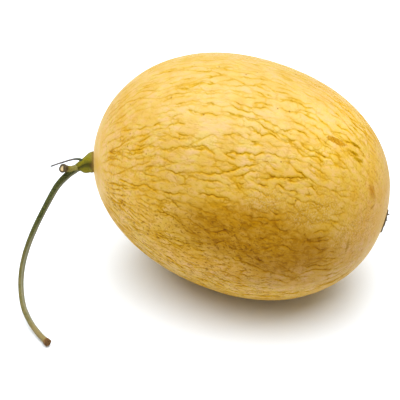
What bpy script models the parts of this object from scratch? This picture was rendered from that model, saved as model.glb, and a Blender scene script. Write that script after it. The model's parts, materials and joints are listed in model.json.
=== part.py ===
"""A yellow netted melon, as picked, lying on its side with its long cut stem.

Metres, +Z up, floor at z = 0. +X runs along the fruit to its blossom end and the stem is
at the -X end. The origin is under the middle of the whole part.
"""
import math
import random

import bmesh
import bpy
from mathutils import Matrix, Vector

# The fruit's body
FRUIT_LENGTH = 0.1844
FRUIT_DIAMETER = 0.1440
FULLNESS = 2.13        # exponent of the outline, where 2 is an ellipse
EGG = 0.025            # how much fatter the blossom half is than the middle
SWAY = 0.030           # how far the stem half lifts and the blossom half drops
ARCH = 0.006           # how far the middle lifts
SWELL = 0.0004         # height of the broad uneven lumps
SWELLS = 3             # lumps round the fruit
TILT = math.radians(6.8)
FLAT_DEPTH = 0.0016    # how much of the underside the flat spot takes off
STEM_END = Vector((-0.933, -0.354, -0.066)).normalized()
SCAR_END = Vector((0.995, 0.076, -0.058)).normalized()

# The raised net: long plates in staggered rows, with furrows between them
NET_STRIPS = 52
NET_ROWS = 12
NET_SEED = 11
CAP_ANGLE = math.radians(15)   # the smooth cap round each end
CAP_RINGS = 3
POINTEDNESS = 0.16             # how far a plate's ends reach between its neighbours, in rows
NARROWEST_TOP = 0.45           # least share of a plate's width that its top keeps
JITTER_ALONG = 0.22            # random shift of a crossing, in rows
JITTER_AROUND = 0.26           # random shift of a crossing, in half plates
WANDER_ALONG = 0.45            # slow drift of the rows, in rows
WANDER_AROUND = 0.05           # slow drift of the furrows, in radians
FURROW_DEPTH = 0.0009
SHALLOWEST = 0.6               # the shallowest crossing, as a share of that depth
FURROW_WIDTH = 0.0024
BARE_RADIUS = 0.016            # the underside is smooth this far round the flat spot
NETTED_RADIUS = 0.030

# The stem
GAP = 0.0003
FOOT_RADIUS = 0.0064
FOOT_RIDGES = 5
FOOT_SIDES = 30
FOOT_RIDGE_TURN = math.radians(109)
FOOT_LOBE = 0.24               # how far its underside bulges, as a share of its radius
FOOT_LOBE_TURN = math.radians(234)
FOOT_INNER_SHARE = 0.5         # radius of the ring inside its sole
FOOT_SETTLED = 0.4             # share of the way over which it leaves the outline of its sole
FOOT_REACH = 0.0045            # how far the foot keeps to the rind's normal before it leans
FOOT_PROFILE = (               # share of the way to the vine, share of the foot's radius, ridge depth
    (0.10, 1.00, 0.08),
    (0.24, 0.89, 0.14),
    (0.40, 0.76, 0.15),
    (0.56, 0.59, 0.12),
    (0.72, 0.43, 0.08),
    (0.88, 0.37, 0.04),
    (0.98, 0.28, 0.02),
)
VINE_SIDES = 3                 # bevel resolution of the vine
VINE_STEPS = 3
VINE_RADIUS = 0.0020
VINE_ROUTE = (                 # from the fruit's middle in plan, height above the floor, thickness
    ((-0.0912, -0.0302, 0.0755), 1.20),
    ((-0.0952, -0.0330, 0.0735), 1.20),
    ((-0.0993, -0.0360, 0.0700), 1.12),
    ((-0.1041, -0.0413, 0.0640), 1.02),
    ((-0.1077, -0.0510, 0.0545), 0.90),
    ((-0.1113, -0.0592, 0.0440), 0.84),
    ((-0.1139, -0.0671, 0.0335), 0.80),
    ((-0.1148, -0.0743, 0.0230), 0.79),
    ((-0.1125, -0.0824, 0.0140), 0.78),
    ((-0.1063, -0.0923, 0.0076), 0.77),
    ((-0.0975, -0.1010, 0.0043), 0.77),
    ((-0.0886, -0.1077, 0.0030), 0.82),
    ((-0.0838, -0.1108, 0.0028), 0.92),
    ((-0.0823, -0.1118, 0.0030), 1.12),
    ((-0.0802, -0.1132, 0.0031), 1.20),
)
STUB_ROUTE = (
    (-0.0940, -0.0325, 0.0745),
    (-0.0974, -0.0345, 0.0744),
    (-0.0995, -0.0362, 0.0750),
    (-0.1006, -0.0387, 0.0763),
)
STUB_THICKNESS = (1.0, 1.0, 1.05, 1.1)
STUB_RADIUS = 0.0020
STUB_SIDES = 3                 # bevel resolution of the stub
STUB_STEPS = 3
STUB_RIM_SIDES = 12
STUB_RIM_PROFILE = (           # radius, height past the route's end
    (0.0019, -0.0008),
    (0.0025, 0.0000),
    (0.0023, 0.0008),
    (0.0015, 0.0007),
)
STUB_HEART = 0.0001            # height of the cut's middle
STUB_ROOT = -0.0010            # where the rim closes inside the stub
TENDRIL_ROUTE = (
    (-0.0895, -0.0290, 0.0775),
    (-0.0927, -0.0303, 0.0796),
    (-0.0951, -0.0316, 0.0802),
    (-0.0981, -0.0337, 0.0800),
    (-0.1022, -0.0366, 0.0790),
    (-0.1054, -0.0385, 0.0780),
    (-0.1083, -0.0400, 0.0768),
)
TENDRIL_THINNING = (1.4, 1.2, 1.0, 0.85, 0.8, 0.75, 0.7)
TENDRIL_RADIUS = 0.0005
TENDRIL_SIDES = 1
TENDRIL_STEPS = 3

# The blossom scar
SCAR_SIDES = 24
SCAR_PROFILE = (               # distance from the scar's middle, height above the rind
    (0.0026, 0.0007),
    (0.0050, 0.0004),
    (0.0068, 0.0008),
    (0.0078, 0.0005),
)
SCAR_MIDDLE = 0.0010           # height of its middle above the rind
SCAR_RAGGED = 0.07             # how far its outline wanders, as a share of its radius
BRISTLES = (                   # turn round the scar in degrees, distance from its middle, length
    (80.0, 0.0068, 0.0020),
    (200.0, 0.0030, 0.0013),
)
BRISTLE_RADIUS = 0.0005
BRISTLE_TIP = 0.35             # tip radius as a share of that
BRISTLE_LEAN = 1.15            # a tip's distance from the scar's middle over its foot's
BRISTLE_ROOT = 0.0002          # height of a bristle's foot above the scar's underside

# Shading and search
SHARP_ANGLE = math.radians(28)
SLOPE_REACH = 0.002            # step over which the skin's slope is measured
SKIN_SEARCH = 0.02             # how far from the tangent plane the skin is looked for
SKIN_HALVINGS = 30
WELD = 0.00001

# Finish: colour, roughness
RIND = ((0.80, 0.53, 0.15), 0.55)
STEM_GREEN = ((0.17, 0.19, 0.06), 0.60)
SCAR_BROWN = ((0.10, 0.06, 0.03), 0.80)


def clear_scene():
    for thing in list(bpy.data.objects):
        bpy.data.objects.remove(thing)


def make_material(name, finish):
    colour, roughness = finish
    material = bpy.data.materials.new(name)
    material.use_nodes = True
    shader = material.node_tree.nodes["Principled BSDF"]
    shader.inputs["Base Color"].default_value = (*colour, 1.0)
    shader.inputs["Roughness"].default_value = roughness
    shader.inputs["Metallic"].default_value = 0.0
    return material


def smoothstep(low, high, value):
    t = min(1.0, max(0.0, (value - low) / (high - low)))
    return t * t * (3.0 - 2.0 * t)


def lift_at(share):
    """How far the body's middle line lies above its straight axis, at a share of half its length."""
    half = FRUIT_DIAMETER / 2
    return half * (1.0 - share * share) * (ARCH - SWAY * share)


def skin(direction, height=0.0):
    """The point of the smooth body that a unit direction names, in the fruit's own axes."""
    cosine = direction.x
    sine = math.sqrt(max(1e-12, 1.0 - cosine * cosine))
    share = math.copysign(abs(cosine) ** (2.0 / FULLNESS), cosine)
    radius = FRUIT_DIAMETER / 2 * sine ** (2.0 / FULLNESS) * (1.0 + EGG * share)
    point = Vector((
        FRUIT_LENGTH / 2 * share,
        radius * direction.y / sine,
        radius * direction.z / sine + lift_at(share),
    ))
    turn = math.atan2(direction.z, direction.y)
    height += SWELL * sine ** 4 * math.sin(SWELLS * turn + 1.0 + 2.0 * cosine)
    return point + point.normalized() * height


def outside(point):
    """Above zero outside the smooth body, below zero inside it."""
    share = point.x / (FRUIT_LENGTH / 2)
    radius = math.hypot(point.y, point.z - lift_at(share)) / (1.0 + EGG * share)
    return abs(share) ** FULLNESS + (radius / (FRUIT_DIAMETER / 2)) ** FULLNESS - 1.0


def tangent_frame(direction):
    """The point of the body in a direction, its outward normal and two directions across it."""
    origin = skin(direction)
    steps = [SLOPE_REACH * Vector(axis) for axis in ((1, 0, 0), (0, 1, 0), (0, 0, 1))]
    slope = Vector([outside(origin + step) - outside(origin - step) for step in steps])
    normal = slope.normalized()
    across = normal.cross(Vector((0, 0, 1))).normalized()
    return origin, normal, across, across.cross(normal).normalized()


def over_skin(frame, turn, distance, height):
    """A point at a height over the body, a distance away from a tangent frame's origin."""
    origin, normal, across, upward = frame
    point = origin + distance * (math.cos(turn) * across + math.sin(turn) * upward)
    low, high = -SKIN_SEARCH, SKIN_SEARCH
    for _ in range(SKIN_HALVINGS):
        middle = (low + high) / 2
        if outside(point + middle * normal) > 0.0:
            high = middle
        else:
            low = middle
    return point + (low + height) * normal


def fruit_placement():
    """Turns the fruit's own axes by its tilt and sets its flat spot on the floor."""
    turned = Matrix.Rotation(TILT, 4, "Y")
    underside = []
    for quarter_degree in range(4 * 60, 4 * 120):
        angle = math.radians(quarter_degree / 4)
        underside.append(turned @ skin(Vector((math.cos(angle), 0.0, -math.sin(angle)))))
    lowest = min(point.z for point in underside)
    return Matrix.Translation((0.0, 0.0, -lowest - FLAT_DEPTH)) @ turned


def net_direction(angle, turn):
    """A unit direction from an angle off the blossom end and a turn about the fruit.

    The turn's two ends are moved to the scar and the stem, so that the net runs to them.
    """
    plain = Vector((
        math.cos(angle),
        math.sin(angle) * math.cos(turn),
        math.sin(angle) * math.sin(turn),
    ))
    to_stem = Vector((-1, 0, 0)).rotation_difference(STEM_END)
    to_scar = Vector((1, 0, 0)).rotation_difference(SCAR_END)
    return to_stem.slerp(to_scar, (1.0 + plain.x) / 2) @ plain


def net_corners():
    """The furrows' crossings: for each line round the fruit, an (angle, turn) for each crossing."""
    draw = random.Random(NET_SEED)
    row = (math.pi - 2 * CAP_ANGLE) / NET_ROWS
    step = math.pi / NET_STRIPS
    lines = []
    for line in range(NET_ROWS + 1):
        crossings = []
        for place in range(2 * NET_STRIPS):
            side = -1.0 if (place + line) % 2 == 0 else 1.0
            along = side * POINTEDNESS + JITTER_ALONG * draw.uniform(-1.0, 1.0)
            around = JITTER_AROUND * draw.uniform(-1.0, 1.0)
            turn = step * (place + around)
            drift = WANDER_ALONG * math.sin(math.pi * line / NET_ROWS)
            along += drift * math.sin(4.0 * turn + 1.0)
            angle = CAP_ANGLE + row * (line + along)
            turn += WANDER_AROUND * math.sin(3.0 * turn + 6.0 * angle)
            turn += WANDER_AROUND * 0.6 * math.sin(5.0 * angle - 2.0 * turn + 1.3)
            crossings.append((angle, turn))
        lines.append(crossings)
    return lines


def netted(point, placement):
    """How strong the net is at a point of the fruit: none at the flat spot, full further out."""
    world = placement @ point
    contact = placement @ skin(Vector((math.sin(-TILT), 0.0, -math.cos(TILT))))
    return smoothstep(BARE_RADIUS, NETTED_RADIUS, (world - contact).length)


def add_plate(mesh, corners, valleys):
    """One raised plate inside a ring of six furrow crossings, with its sloping sides."""
    middle_angle = sum(corner[0] for corner in corners) / len(corners)
    middle_turn = sum(corner[1] for corner in corners) / len(corners)
    half_length = FRUIT_LENGTH / 2 * math.pi / NET_ROWS / 2
    half_width = math.pi / NET_STRIPS * FRUIT_DIAMETER / 2 * math.sin(middle_angle)
    keep_along = 1.0 - FURROW_WIDTH / 2 / half_length
    keep_across = max(NARROWEST_TOP, 1.0 - FURROW_WIDTH / 2 / half_width)
    tops = []
    for angle, turn in corners:
        inner_angle = middle_angle + (angle - middle_angle) * keep_along
        inner_turn = middle_turn + (turn - middle_turn) * keep_across
        tops.append(mesh.verts.new(skin(net_direction(inner_angle, inner_turn))))
    mesh.faces.new(tops)
    for first in range(len(corners)):
        second = (first + 1) % len(corners)
        mesh.faces.new((valleys[first], valleys[second], tops[second], tops[first]))


def add_cap(mesh, rim, end_angle, rim_angle):
    """A smooth cap from one end of the fruit to the first line of furrows."""
    pole = mesh.verts.new(skin(net_direction(end_angle, 0.0)))
    inner = None
    for ring_number in range(1, CAP_RINGS):
        angle = end_angle + (rim_angle - end_angle) * ring_number / CAP_RINGS
        ring = [
            mesh.verts.new(skin(net_direction(angle, 2.0 * math.pi * place / NET_STRIPS)))
            for place in range(NET_STRIPS)
        ]
        for place in range(NET_STRIPS):
            after = (place + 1) % NET_STRIPS
            if inner is None:
                mesh.faces.new((pole, ring[place], ring[after]))
            else:
                mesh.faces.new((inner[place], ring[place], ring[after], inner[after]))
        inner = ring
    for place in range(NET_STRIPS):
        after = (place + 1) % NET_STRIPS
        first, second = rim[2 * place], rim[2 * place + 1]
        third = rim[(2 * place + 2) % len(rim)]
        mesh.faces.new((inner[place], first, second))
        mesh.faces.new((inner[place], second, inner[after]))
        mesh.faces.new((inner[after], second, third))


def make_fruit(placement, material):
    mesh = bmesh.new()
    draw = random.Random(NET_SEED + 1)
    lines = net_corners()
    valleys = []
    for line in lines:
        row = []
        for angle, turn in line:
            direction = net_direction(angle, turn)
            strength = netted(skin(direction), placement) * math.sin(angle) ** 0.5
            depth = FURROW_DEPTH * draw.uniform(SHALLOWEST, 1.0) * strength
            row.append(mesh.verts.new(skin(direction, -depth)))
        valleys.append(row)
    places = 2 * NET_STRIPS
    full_turn = 2.0 * math.pi
    for row in range(NET_ROWS):
        for middle in range(row % 2, places, 2):
            ring = [(row, middle - 1), (row, middle), (row, middle + 1)]
            ring += [(row + 1, middle + 1), (row + 1, middle), (row + 1, middle - 1)]
            corners = []
            for line, place in ring:
                angle, turn = lines[line][place % places]
                corners.append((angle, turn + full_turn * (place // places)))
            around = [valleys[line][place % places] for line, place in ring]
            add_plate(mesh, corners, around)
    add_cap(mesh, valleys[0], 0.0, CAP_ANGLE)
    add_cap(mesh, valleys[-1], math.pi, math.pi - CAP_ANGLE)
    cut_flat_spot(mesh, placement)
    bmesh.ops.triangulate(mesh, faces=mesh.faces[:])
    bmesh.ops.recalc_face_normals(mesh, faces=mesh.faces[:])
    return add_object("melon_fruit", mesh, material, placement)


def cut_flat_spot(mesh, placement):
    """Cuts the fruit level with the floor and closes the cut with one flat face."""
    to_fruit = placement.inverted()
    floor_point = to_fruit @ Vector((0.0, 0.0, 0.0))
    floor_normal = to_fruit.to_3x3() @ Vector((0.0, 0.0, 1.0))
    everything = mesh.verts[:] + mesh.edges[:] + mesh.faces[:]
    cut = bmesh.ops.bisect_plane(
        mesh, geom=everything, plane_co=floor_point, plane_no=floor_normal, clear_inner=True)
    rim = [part for part in cut["geom_cut"] if isinstance(part, bmesh.types.BMEdge)]
    bmesh.ops.contextual_create(mesh, geom=rim)


def add_object(name, mesh, material, placement):
    data = bpy.data.meshes.new(name)
    mesh.to_mesh(data)
    mesh.free()
    data.materials.append(material)
    data.shade_smooth()
    data.set_sharp_from_angle(angle=SHARP_ANGLE)
    thing = bpy.data.objects.new(name, data)
    thing.matrix_world = placement
    return thing


def loose_object(name, mesh):
    """An object with a mesh of its own, for a piece that is fused into another."""
    bmesh.ops.recalc_face_normals(mesh, faces=mesh.faces[:])
    data = bpy.data.meshes.new(name)
    mesh.to_mesh(data)
    mesh.free()
    return bpy.data.objects.new(name, data)


def turns_round(sides):
    return [2.0 * math.pi * side / sides for side in range(sides)]


def add_ring(mesh, points):
    return [mesh.verts.new(point) for point in points]


def join_rings(mesh, first, second):
    count = len(first)
    for place in range(count):
        after = (place + 1) % count
        mesh.faces.new((first[place], first[after], second[after], second[place]))


def close_ring(mesh, ring, point):
    tip = mesh.verts.new(point)
    for place in range(len(ring)):
        mesh.faces.new((ring[place], ring[(place + 1) % len(ring)], tip))


def make_foot(placement):
    """The ridged flare that stands on the rind and narrows into the vine."""
    frame = tangent_frame(STEM_END)
    root = placement @ frame[0]
    normal = placement.to_3x3() @ frame[1]
    over = placement.to_3x3() @ frame[3]
    knee = root + FOOT_REACH * normal
    top = Vector(VINE_ROUTE[1][0])
    mesh = bmesh.new()
    turns = turns_round(FOOT_SIDES)

    def on_rind(share):
        return [placement @ over_skin(frame, turn, FOOT_RADIUS * share, GAP) for turn in turns]

    inner = add_ring(mesh, on_rind(FOOT_INNER_SHARE))
    close_ring(mesh, inner, placement @ over_skin(frame, 0.0, 0.0, GAP))
    rim = on_rind(1.0)
    ring = add_ring(mesh, rim)
    join_rings(mesh, inner, ring)
    for way, share, ridge in FOOT_PROFILE:
        middle = root.lerp(knee, way).lerp(knee.lerp(top, way), way)
        ahead = knee.lerp(top, way) - root.lerp(knee, way)
        across = ahead.cross(over).normalized()
        upward = across.cross(ahead).normalized()
        points = []
        for place, turn in enumerate(turns):
            bulge = FOOT_LOBE * math.sin(math.pi * way) * max(0.0, math.cos(turn - FOOT_LOBE_TURN))
            radius = FOOT_RADIUS * share * (1.0 + bulge)
            radius *= 1.0 + ridge * math.cos(FOOT_RIDGES * (turn - FOOT_RIDGE_TURN))
            point = middle + radius * (math.cos(turn) * across + math.sin(turn) * upward)
            seat = rim[place] + middle - root
            points.append(seat.lerp(point, smoothstep(0.0, FOOT_SETTLED, way)))
        after = add_ring(mesh, points)
        join_rings(mesh, ring, after)
        ring = after
    close_ring(mesh, ring, top)
    return loose_object("foot", mesh)


def make_tube(name, route, radius, shares, resolution, steps):
    """A closed mesh tube along a smooth curve through the route's points."""
    curve = bpy.data.curves.new(name, "CURVE")
    curve.dimensions = "3D"
    curve.bevel_depth = radius
    curve.bevel_resolution = resolution
    curve.resolution_u = steps
    curve.use_fill_caps = True
    spline = curve.splines.new("BEZIER")
    spline.bezier_points.add(len(route) - 1)
    for knot, place, share in zip(spline.bezier_points, route, shares):
        knot.co = place
        knot.radius = share
        knot.handle_left_type = "AUTO"
        knot.handle_right_type = "AUTO"
    guide = bpy.data.objects.new(name, curve)
    bpy.context.scene.collection.objects.link(guide)
    data = bpy.data.meshes.new_from_object(guide.evaluated_get(bpy.context.evaluated_depsgraph_get()))
    bpy.data.objects.remove(guide)
    mesh = bmesh.new()
    mesh.from_mesh(data)
    bmesh.ops.remove_doubles(mesh, verts=mesh.verts[:], dist=WELD)
    return loose_object(name, mesh)


def make_stub():
    """The short cut side shoot, thickest at its cut, where it is a little dished."""
    before, cut = Vector(STUB_ROUTE[-2]), Vector(STUB_ROUTE[-1])
    outward = (cut - before).normalized()
    stub = make_tube("stub", STUB_ROUTE, STUB_RADIUS, STUB_THICKNESS, STUB_SIDES, STUB_STEPS)
    facing = Vector((0, 0, 1)).rotation_difference(outward)
    mesh = bmesh.new()
    rings = []
    for radius, height in STUB_RIM_PROFILE:
        points = [
            cut + facing @ Vector((radius * math.cos(turn), radius * math.sin(turn), height))
            for turn in turns_round(STUB_RIM_SIDES)
        ]
        rings.append(add_ring(mesh, points))
    for first, second in zip(rings, rings[1:]):
        join_rings(mesh, first, second)
    close_ring(mesh, rings[0], cut + STUB_ROOT * outward)
    close_ring(mesh, rings[-1], cut + STUB_HEART * outward)
    return [stub, loose_object("stub_rim", mesh)]


def fuse(name, base, others, material):
    """One body from pieces that overlap."""
    scene = bpy.context.scene
    extra = bpy.data.collections.new(name + "_pieces")
    scene.collection.children.link(extra)
    scene.collection.objects.link(base)
    for other in others:
        extra.objects.link(other)
    union = base.modifiers.new("Union", "BOOLEAN")
    union.operation = "UNION"
    union.operand_type = "COLLECTION"
    union.collection = extra
    union.solver = "EXACT"
    bpy.context.view_layer.update()
    graph = bpy.context.evaluated_depsgraph_get()
    joined = bmesh.new()
    joined.from_mesh(bpy.data.meshes.new_from_object(base.evaluated_get(graph)))
    for thing in [base] + others:
        bpy.data.objects.remove(thing)
    bpy.data.collections.remove(extra)
    bmesh.ops.triangulate(joined, faces=joined.faces[:])
    return add_object(name, joined, material, Matrix.Identity(4))


def make_stem(placement, material):
    route = [place for place, _ in VINE_ROUTE]
    shares = [share for _, share in VINE_ROUTE]
    vine = make_tube("vine", route, VINE_RADIUS, shares, VINE_SIDES, VINE_STEPS)
    tendril = make_tube(
        "tendril", TENDRIL_ROUTE, TENDRIL_RADIUS, TENDRIL_THINNING, TENDRIL_SIDES, TENDRIL_STEPS)
    pieces = [vine, tendril] + make_stub()
    return fuse("stem", make_foot(placement), pieces, material)


def make_bristle(frame, placement, turn, distance, length):
    """A short dry spike that stands out of the scar."""
    base = GAP + BRISTLE_ROOT
    foot = placement @ over_skin(frame, turn, distance, base)
    tip = placement @ over_skin(frame, turn, distance * BRISTLE_LEAN, base + length)
    upright = Vector((0, 0, 1)).rotation_difference(tip - foot).to_matrix().to_4x4()
    mesh = bmesh.new()
    bmesh.ops.create_cone(
        mesh, cap_ends=True, segments=6, radius1=BRISTLE_RADIUS, radius2=BRISTLE_RADIUS * BRISTLE_TIP,
        depth=(tip - foot).length, matrix=Matrix.Translation((foot + tip) / 2) @ upright)
    return loose_object("bristle", mesh)


def make_scar(placement, material):
    """The thin ragged dry scar at the blossom end."""
    frame = tangent_frame(SCAR_END)

    def ring_at(distance, height):
        points = []
        for turn in turns_round(SCAR_SIDES):
            ragged = 1.0 + SCAR_RAGGED * math.sin(4.0 * turn + 0.7) * math.cos(7.0 * turn)
            points.append(placement @ over_skin(frame, turn, distance * ragged, height))
        return points

    mesh = bmesh.new()
    under = add_ring(mesh, ring_at(SCAR_PROFILE[0][0], GAP))
    close_ring(mesh, under, placement @ over_skin(frame, 0.0, 0.0, GAP))
    rim = add_ring(mesh, ring_at(SCAR_PROFILE[-1][0], GAP))
    join_rings(mesh, under, rim)
    ring = rim
    for distance, height in reversed(SCAR_PROFILE):
        after = add_ring(mesh, ring_at(distance, GAP + height))
        join_rings(mesh, ring, after)
        ring = after
    close_ring(mesh, ring, placement @ over_skin(frame, 0.0, 0.0, GAP + SCAR_MIDDLE))
    disc = loose_object("scar_disc", mesh)
    bristles = [
        make_bristle(frame, placement, math.radians(turn), distance, length)
        for turn, distance, length in BRISTLES
    ]
    return fuse("blossom_scar", disc, bristles, material)


def set_origin(parts):
    """Parents the parts to an empty and moves it, so that the origin is under their middle."""
    root = bpy.data.objects.new("melon_origin", None)
    bpy.context.scene.collection.objects.link(root)
    bpy.context.view_layer.update()
    corners = [
        part.matrix_world @ vertex.co for part in parts for vertex in part.data.vertices
    ]
    low = [min(corner[axis] for corner in corners) for axis in range(2)]
    high = [max(corner[axis] for corner in corners) for axis in range(2)]
    for part in parts:
        part.parent = root
    root.location = (-(low[0] + high[0]) / 2, -(low[1] + high[1]) / 2, 0.0)
    bpy.context.view_layer.update()


def main():
    clear_scene()
    placement = fruit_placement()
    parts = [
        make_fruit(placement, make_material("rind", RIND)),
        make_stem(placement, make_material("stem_green", STEM_GREEN)),
        make_scar(placement, make_material("scar_brown", SCAR_BROWN)),
    ]
    melon = bpy.data.collections.new("melon")
    bpy.context.scene.collection.children.link(melon)
    for part in parts:
        melon.objects.link(part)
    set_origin(parts)


main()
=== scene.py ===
"""The dressed netted melon: fine netted rind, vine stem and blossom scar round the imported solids."""
import json
import math
import random
from types import SimpleNamespace

import bpy
import numpy as np
from mathutils import Matrix, Vector, noise

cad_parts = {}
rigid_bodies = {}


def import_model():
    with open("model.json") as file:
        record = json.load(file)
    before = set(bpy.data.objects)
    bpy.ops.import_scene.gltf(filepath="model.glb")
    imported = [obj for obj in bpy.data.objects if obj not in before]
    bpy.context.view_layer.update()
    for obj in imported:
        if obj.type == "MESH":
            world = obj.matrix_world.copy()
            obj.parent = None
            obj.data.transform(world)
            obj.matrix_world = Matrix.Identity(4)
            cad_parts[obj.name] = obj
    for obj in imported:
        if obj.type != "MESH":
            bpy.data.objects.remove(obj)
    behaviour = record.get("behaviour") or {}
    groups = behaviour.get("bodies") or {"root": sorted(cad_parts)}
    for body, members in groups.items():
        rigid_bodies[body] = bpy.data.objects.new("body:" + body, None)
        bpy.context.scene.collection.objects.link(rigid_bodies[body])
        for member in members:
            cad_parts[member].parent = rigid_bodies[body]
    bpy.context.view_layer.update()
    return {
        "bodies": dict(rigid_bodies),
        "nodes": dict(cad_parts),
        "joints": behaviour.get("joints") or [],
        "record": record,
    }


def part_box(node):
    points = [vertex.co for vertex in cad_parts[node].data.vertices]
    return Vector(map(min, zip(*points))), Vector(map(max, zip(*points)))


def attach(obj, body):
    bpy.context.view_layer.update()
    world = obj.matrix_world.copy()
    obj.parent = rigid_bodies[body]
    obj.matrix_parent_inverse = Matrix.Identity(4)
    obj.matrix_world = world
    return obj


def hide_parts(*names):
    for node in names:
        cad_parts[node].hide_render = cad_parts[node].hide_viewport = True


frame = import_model()

# The fruit's body, as in the solid
FRUIT_LENGTH = 0.1844
FRUIT_DIAMETER = 0.1440
FULLNESS = 2.13
EGG = 0.025
SWAY = 0.030
ARCH = 0.006
SWELL = 0.0004
SWELLS = 3
TILT = math.radians(6.8)
FLAT_DEPTH = 0.0016
STEM_END = Vector((-0.933, -0.354, -0.066)).normalized()
SCAR_END = Vector((0.995, 0.076, -0.058)).normalized()

# The fruit's fine mesh
RING_STEP = 0.00125            # distance between its rings along the fruit
NET_SIDES = 512
RING_SIDES = ((0.024, NET_SIDES), (0.012, 256), (0.006, 128), (0.003, 64), (0.0, 32))
NET_COLUMN = 2.0 * math.pi / NET_SIDES
RIND_INSET = 0.00012           # how far the highest plates lie inside the smooth body

# How the net's furrows grow along the fruit, in mm
NET_SEED = 5
GAP = 4.5                      # usual width of a plate between two furrows
GAP_WAVES = ((3, 60.0, 0.10), (5, 45.0, 0.12), (8, 33.0, 0.10))
FLOW_WAVES = ((11, 22.0, 0.05), (17, 14.0, 0.05), (26, 9.0, 0.04), (5, 35.0, 0.06), (38, 11.0, 0.04))
DRIFT = 0.31                   # sideways slope that a furrow wanders with
DRIFT_LENGTH = 1.9             # and the length over which it forgets that slope
LEAN = 0.11                    # and the slope that it leans to for longer
LEAN_LENGTH = 9.0
CENTRING = 0.035               # how strongly it keeps to the middle between its neighbours
MOST_CENTRING = 0.12
SPLIT_GAP = 1.3                # how much wider than usual a gap is before a furrow grows in it
SPLIT_CHANCE = 0.5
BRANCH_SHARE = 0.7             # share of new furrows that branch off an old one
BRANCH_SLOPE = 0.3
MERGE_LENGTH = 32.0            # mean length before a furrow turns to its neighbour
MERGE_SLOPE = 0.44
LEAST_AGE = 9.0
FADE_LENGTH = 30.0             # mean length before it fades out
STRENGTH_LENGTH = 2.0          # length over which its strength changes
STRENGTH_CHANGE = 0.09
LEAST_STRENGTH = 0.06
STRONG_SHARE = 0.55            # share of new furrows that are strong
NARROW_TURN = math.radians(212)
NARROWING = 0.45               # how much narrower the gaps are low on the stem half
RUNG_LENGTH = 42.0             # length of plate per cross link
RUNG_COLUMNS = (3, 9)          # narrowest and widest plate that a cross link crosses
RUNG_CLIMBS = (-3, -2, -1, 1, 2, 3)
RUNG_MARGIN = 4                # rings of net on either side that it needs
FAR_OFF = 9.0                  # distance to the net where there is none

# The relief
HALF_FURROW = 0.45             # half width of a furrow's narrow bottom, in mm
GROOVE_REACH = 1.4             # how far its rounded sides reach, in mm
FURROW_DEPTH = 0.00030
GROOVE_DEPTH = 0.00021
LUMP_SIZES = ((0.0210, 0.00022), (0.0095, 0.00010))   # size across and height
LUMP_SHARE = 0.6
PATCH_SIZE = 0.016             # size of the patches where the net is fainter
BREAK_SIZE = 0.0055            # and of those where its lines break off
BARE_RADIUS = 0.016            # there is no net this near the lowest point
NETTED_RADIUS = 0.030          # and all of it from here on
BARE_END = 24.0                # the same round both ends, as radii of the rings in mm
NETTED_END = 36.0

# Places where the rind differs: middle and reach each way in the part's axes
# golden zones on the lower front: partly a golden patch of the rind, partly painted shade along the dark
# band there
GOLDEN_AND_SHADED_ZONES = (
    ((0.038, -0.047, 0.081), (0.036, 0.030, 0.017)),
    ((0.060, -0.041, 0.070), (0.030, 0.030, 0.014)),
)
FAINT_ZONES = (                # where the net is fainter
    ((-0.056, 0.012, 0.108), (0.044, 0.040, 0.028)),
    ((-0.010, 0.055, 0.128), (0.060, 0.036, 0.026)),
)
STRONG_ZONES = (((0.056, -0.022, 0.112), (0.036, 0.034, 0.024)),)
TINTS_AND_PAINTED_LIGHT = (                      # places whose colour is multiplied: partly the rind's own tint, partly painted shade and painted light, which darken the low front and the top, brighten both ends and the bottom rim, and warm the underside for its bounce
    ((0.064, -0.036, 0.050), (0.052, 0.040, 0.018), (0.82, 0.78, 0.84)),
    ((0.000, -0.010, 0.128), (0.070, 0.055, 0.028), (0.965, 0.950, 0.93)),
    ((-0.060, -0.032, 0.080), (0.046, 0.055, 0.036), (1.15, 1.12, 1.09)),
    ((-0.050, -0.008, 0.118), (0.026, 0.030, 0.018), (0.98, 0.95, 0.88)),
    ((0.099, 0.000, 0.072), (0.012, 0.030, 0.018), (0.96, 0.90, 0.96)),
    ((0.086, -0.018, 0.050), (0.028, 0.030, 0.020), (0.97, 0.95, 1.15)),
    ((0.052, -0.041, 0.050), (0.024, 0.020, 0.009), (0.93, 0.87, 0.70)),
    ((0.045, -0.033, 0.031), (0.040, 0.030, 0.009), (1.13, 1.13, 1.20)),
    ((0.010, -0.047, 0.050), (0.026, 0.030, 0.012), (1.12, 1.08, 1.25)),
    ((0.033, -0.040, 0.100), (0.024, 0.030, 0.012), (1.08, 1.09, 1.10)),
    ((0.012, 0.020, 0.000), (0.090, 0.075, 0.021), (1.12, 1.00, 0.25)),
    ((0.080, 0.020, 0.118), (0.034, 0.040, 0.026), (1.14, 1.14, 1.05)),
    ((0.100, 0.005, 0.085), (0.014, 0.030, 0.022), (1.02, 0.98, 0.75)),
    ((0.006, 0.040, 0.142), (0.070, 0.040, 0.016), (0.92, 0.92, 0.86)),
    ((0.0193, -0.0036, 0.1387), (0.0036, 0.0032, 0.0040), (0.95, 0.87, 0.50)),
    ((0.0722, -0.0346, 0.0744), (0.0090, 0.0100, 0.0070), (0.88, 0.84, 0.70)),
    ((0.0603, 0.0379, 0.1296), (0.0180, 0.0180, 0.0120), (0.97, 0.91, 0.90)),
    ((0.0360, -0.0470, 0.0546), (0.0110, 0.0200, 0.0070), (1.07, 1.09, 1.25)),
)
CORK_ZONES = (
    ((0.047, -0.038, 0.101), (0.011, 0.020, 0.006)),
    ((0.073, -0.029, 0.092), (0.014, 0.020, 0.007)),
    ((0.094, -0.012, 0.073), (0.014, 0.022, 0.010)),
)
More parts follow.
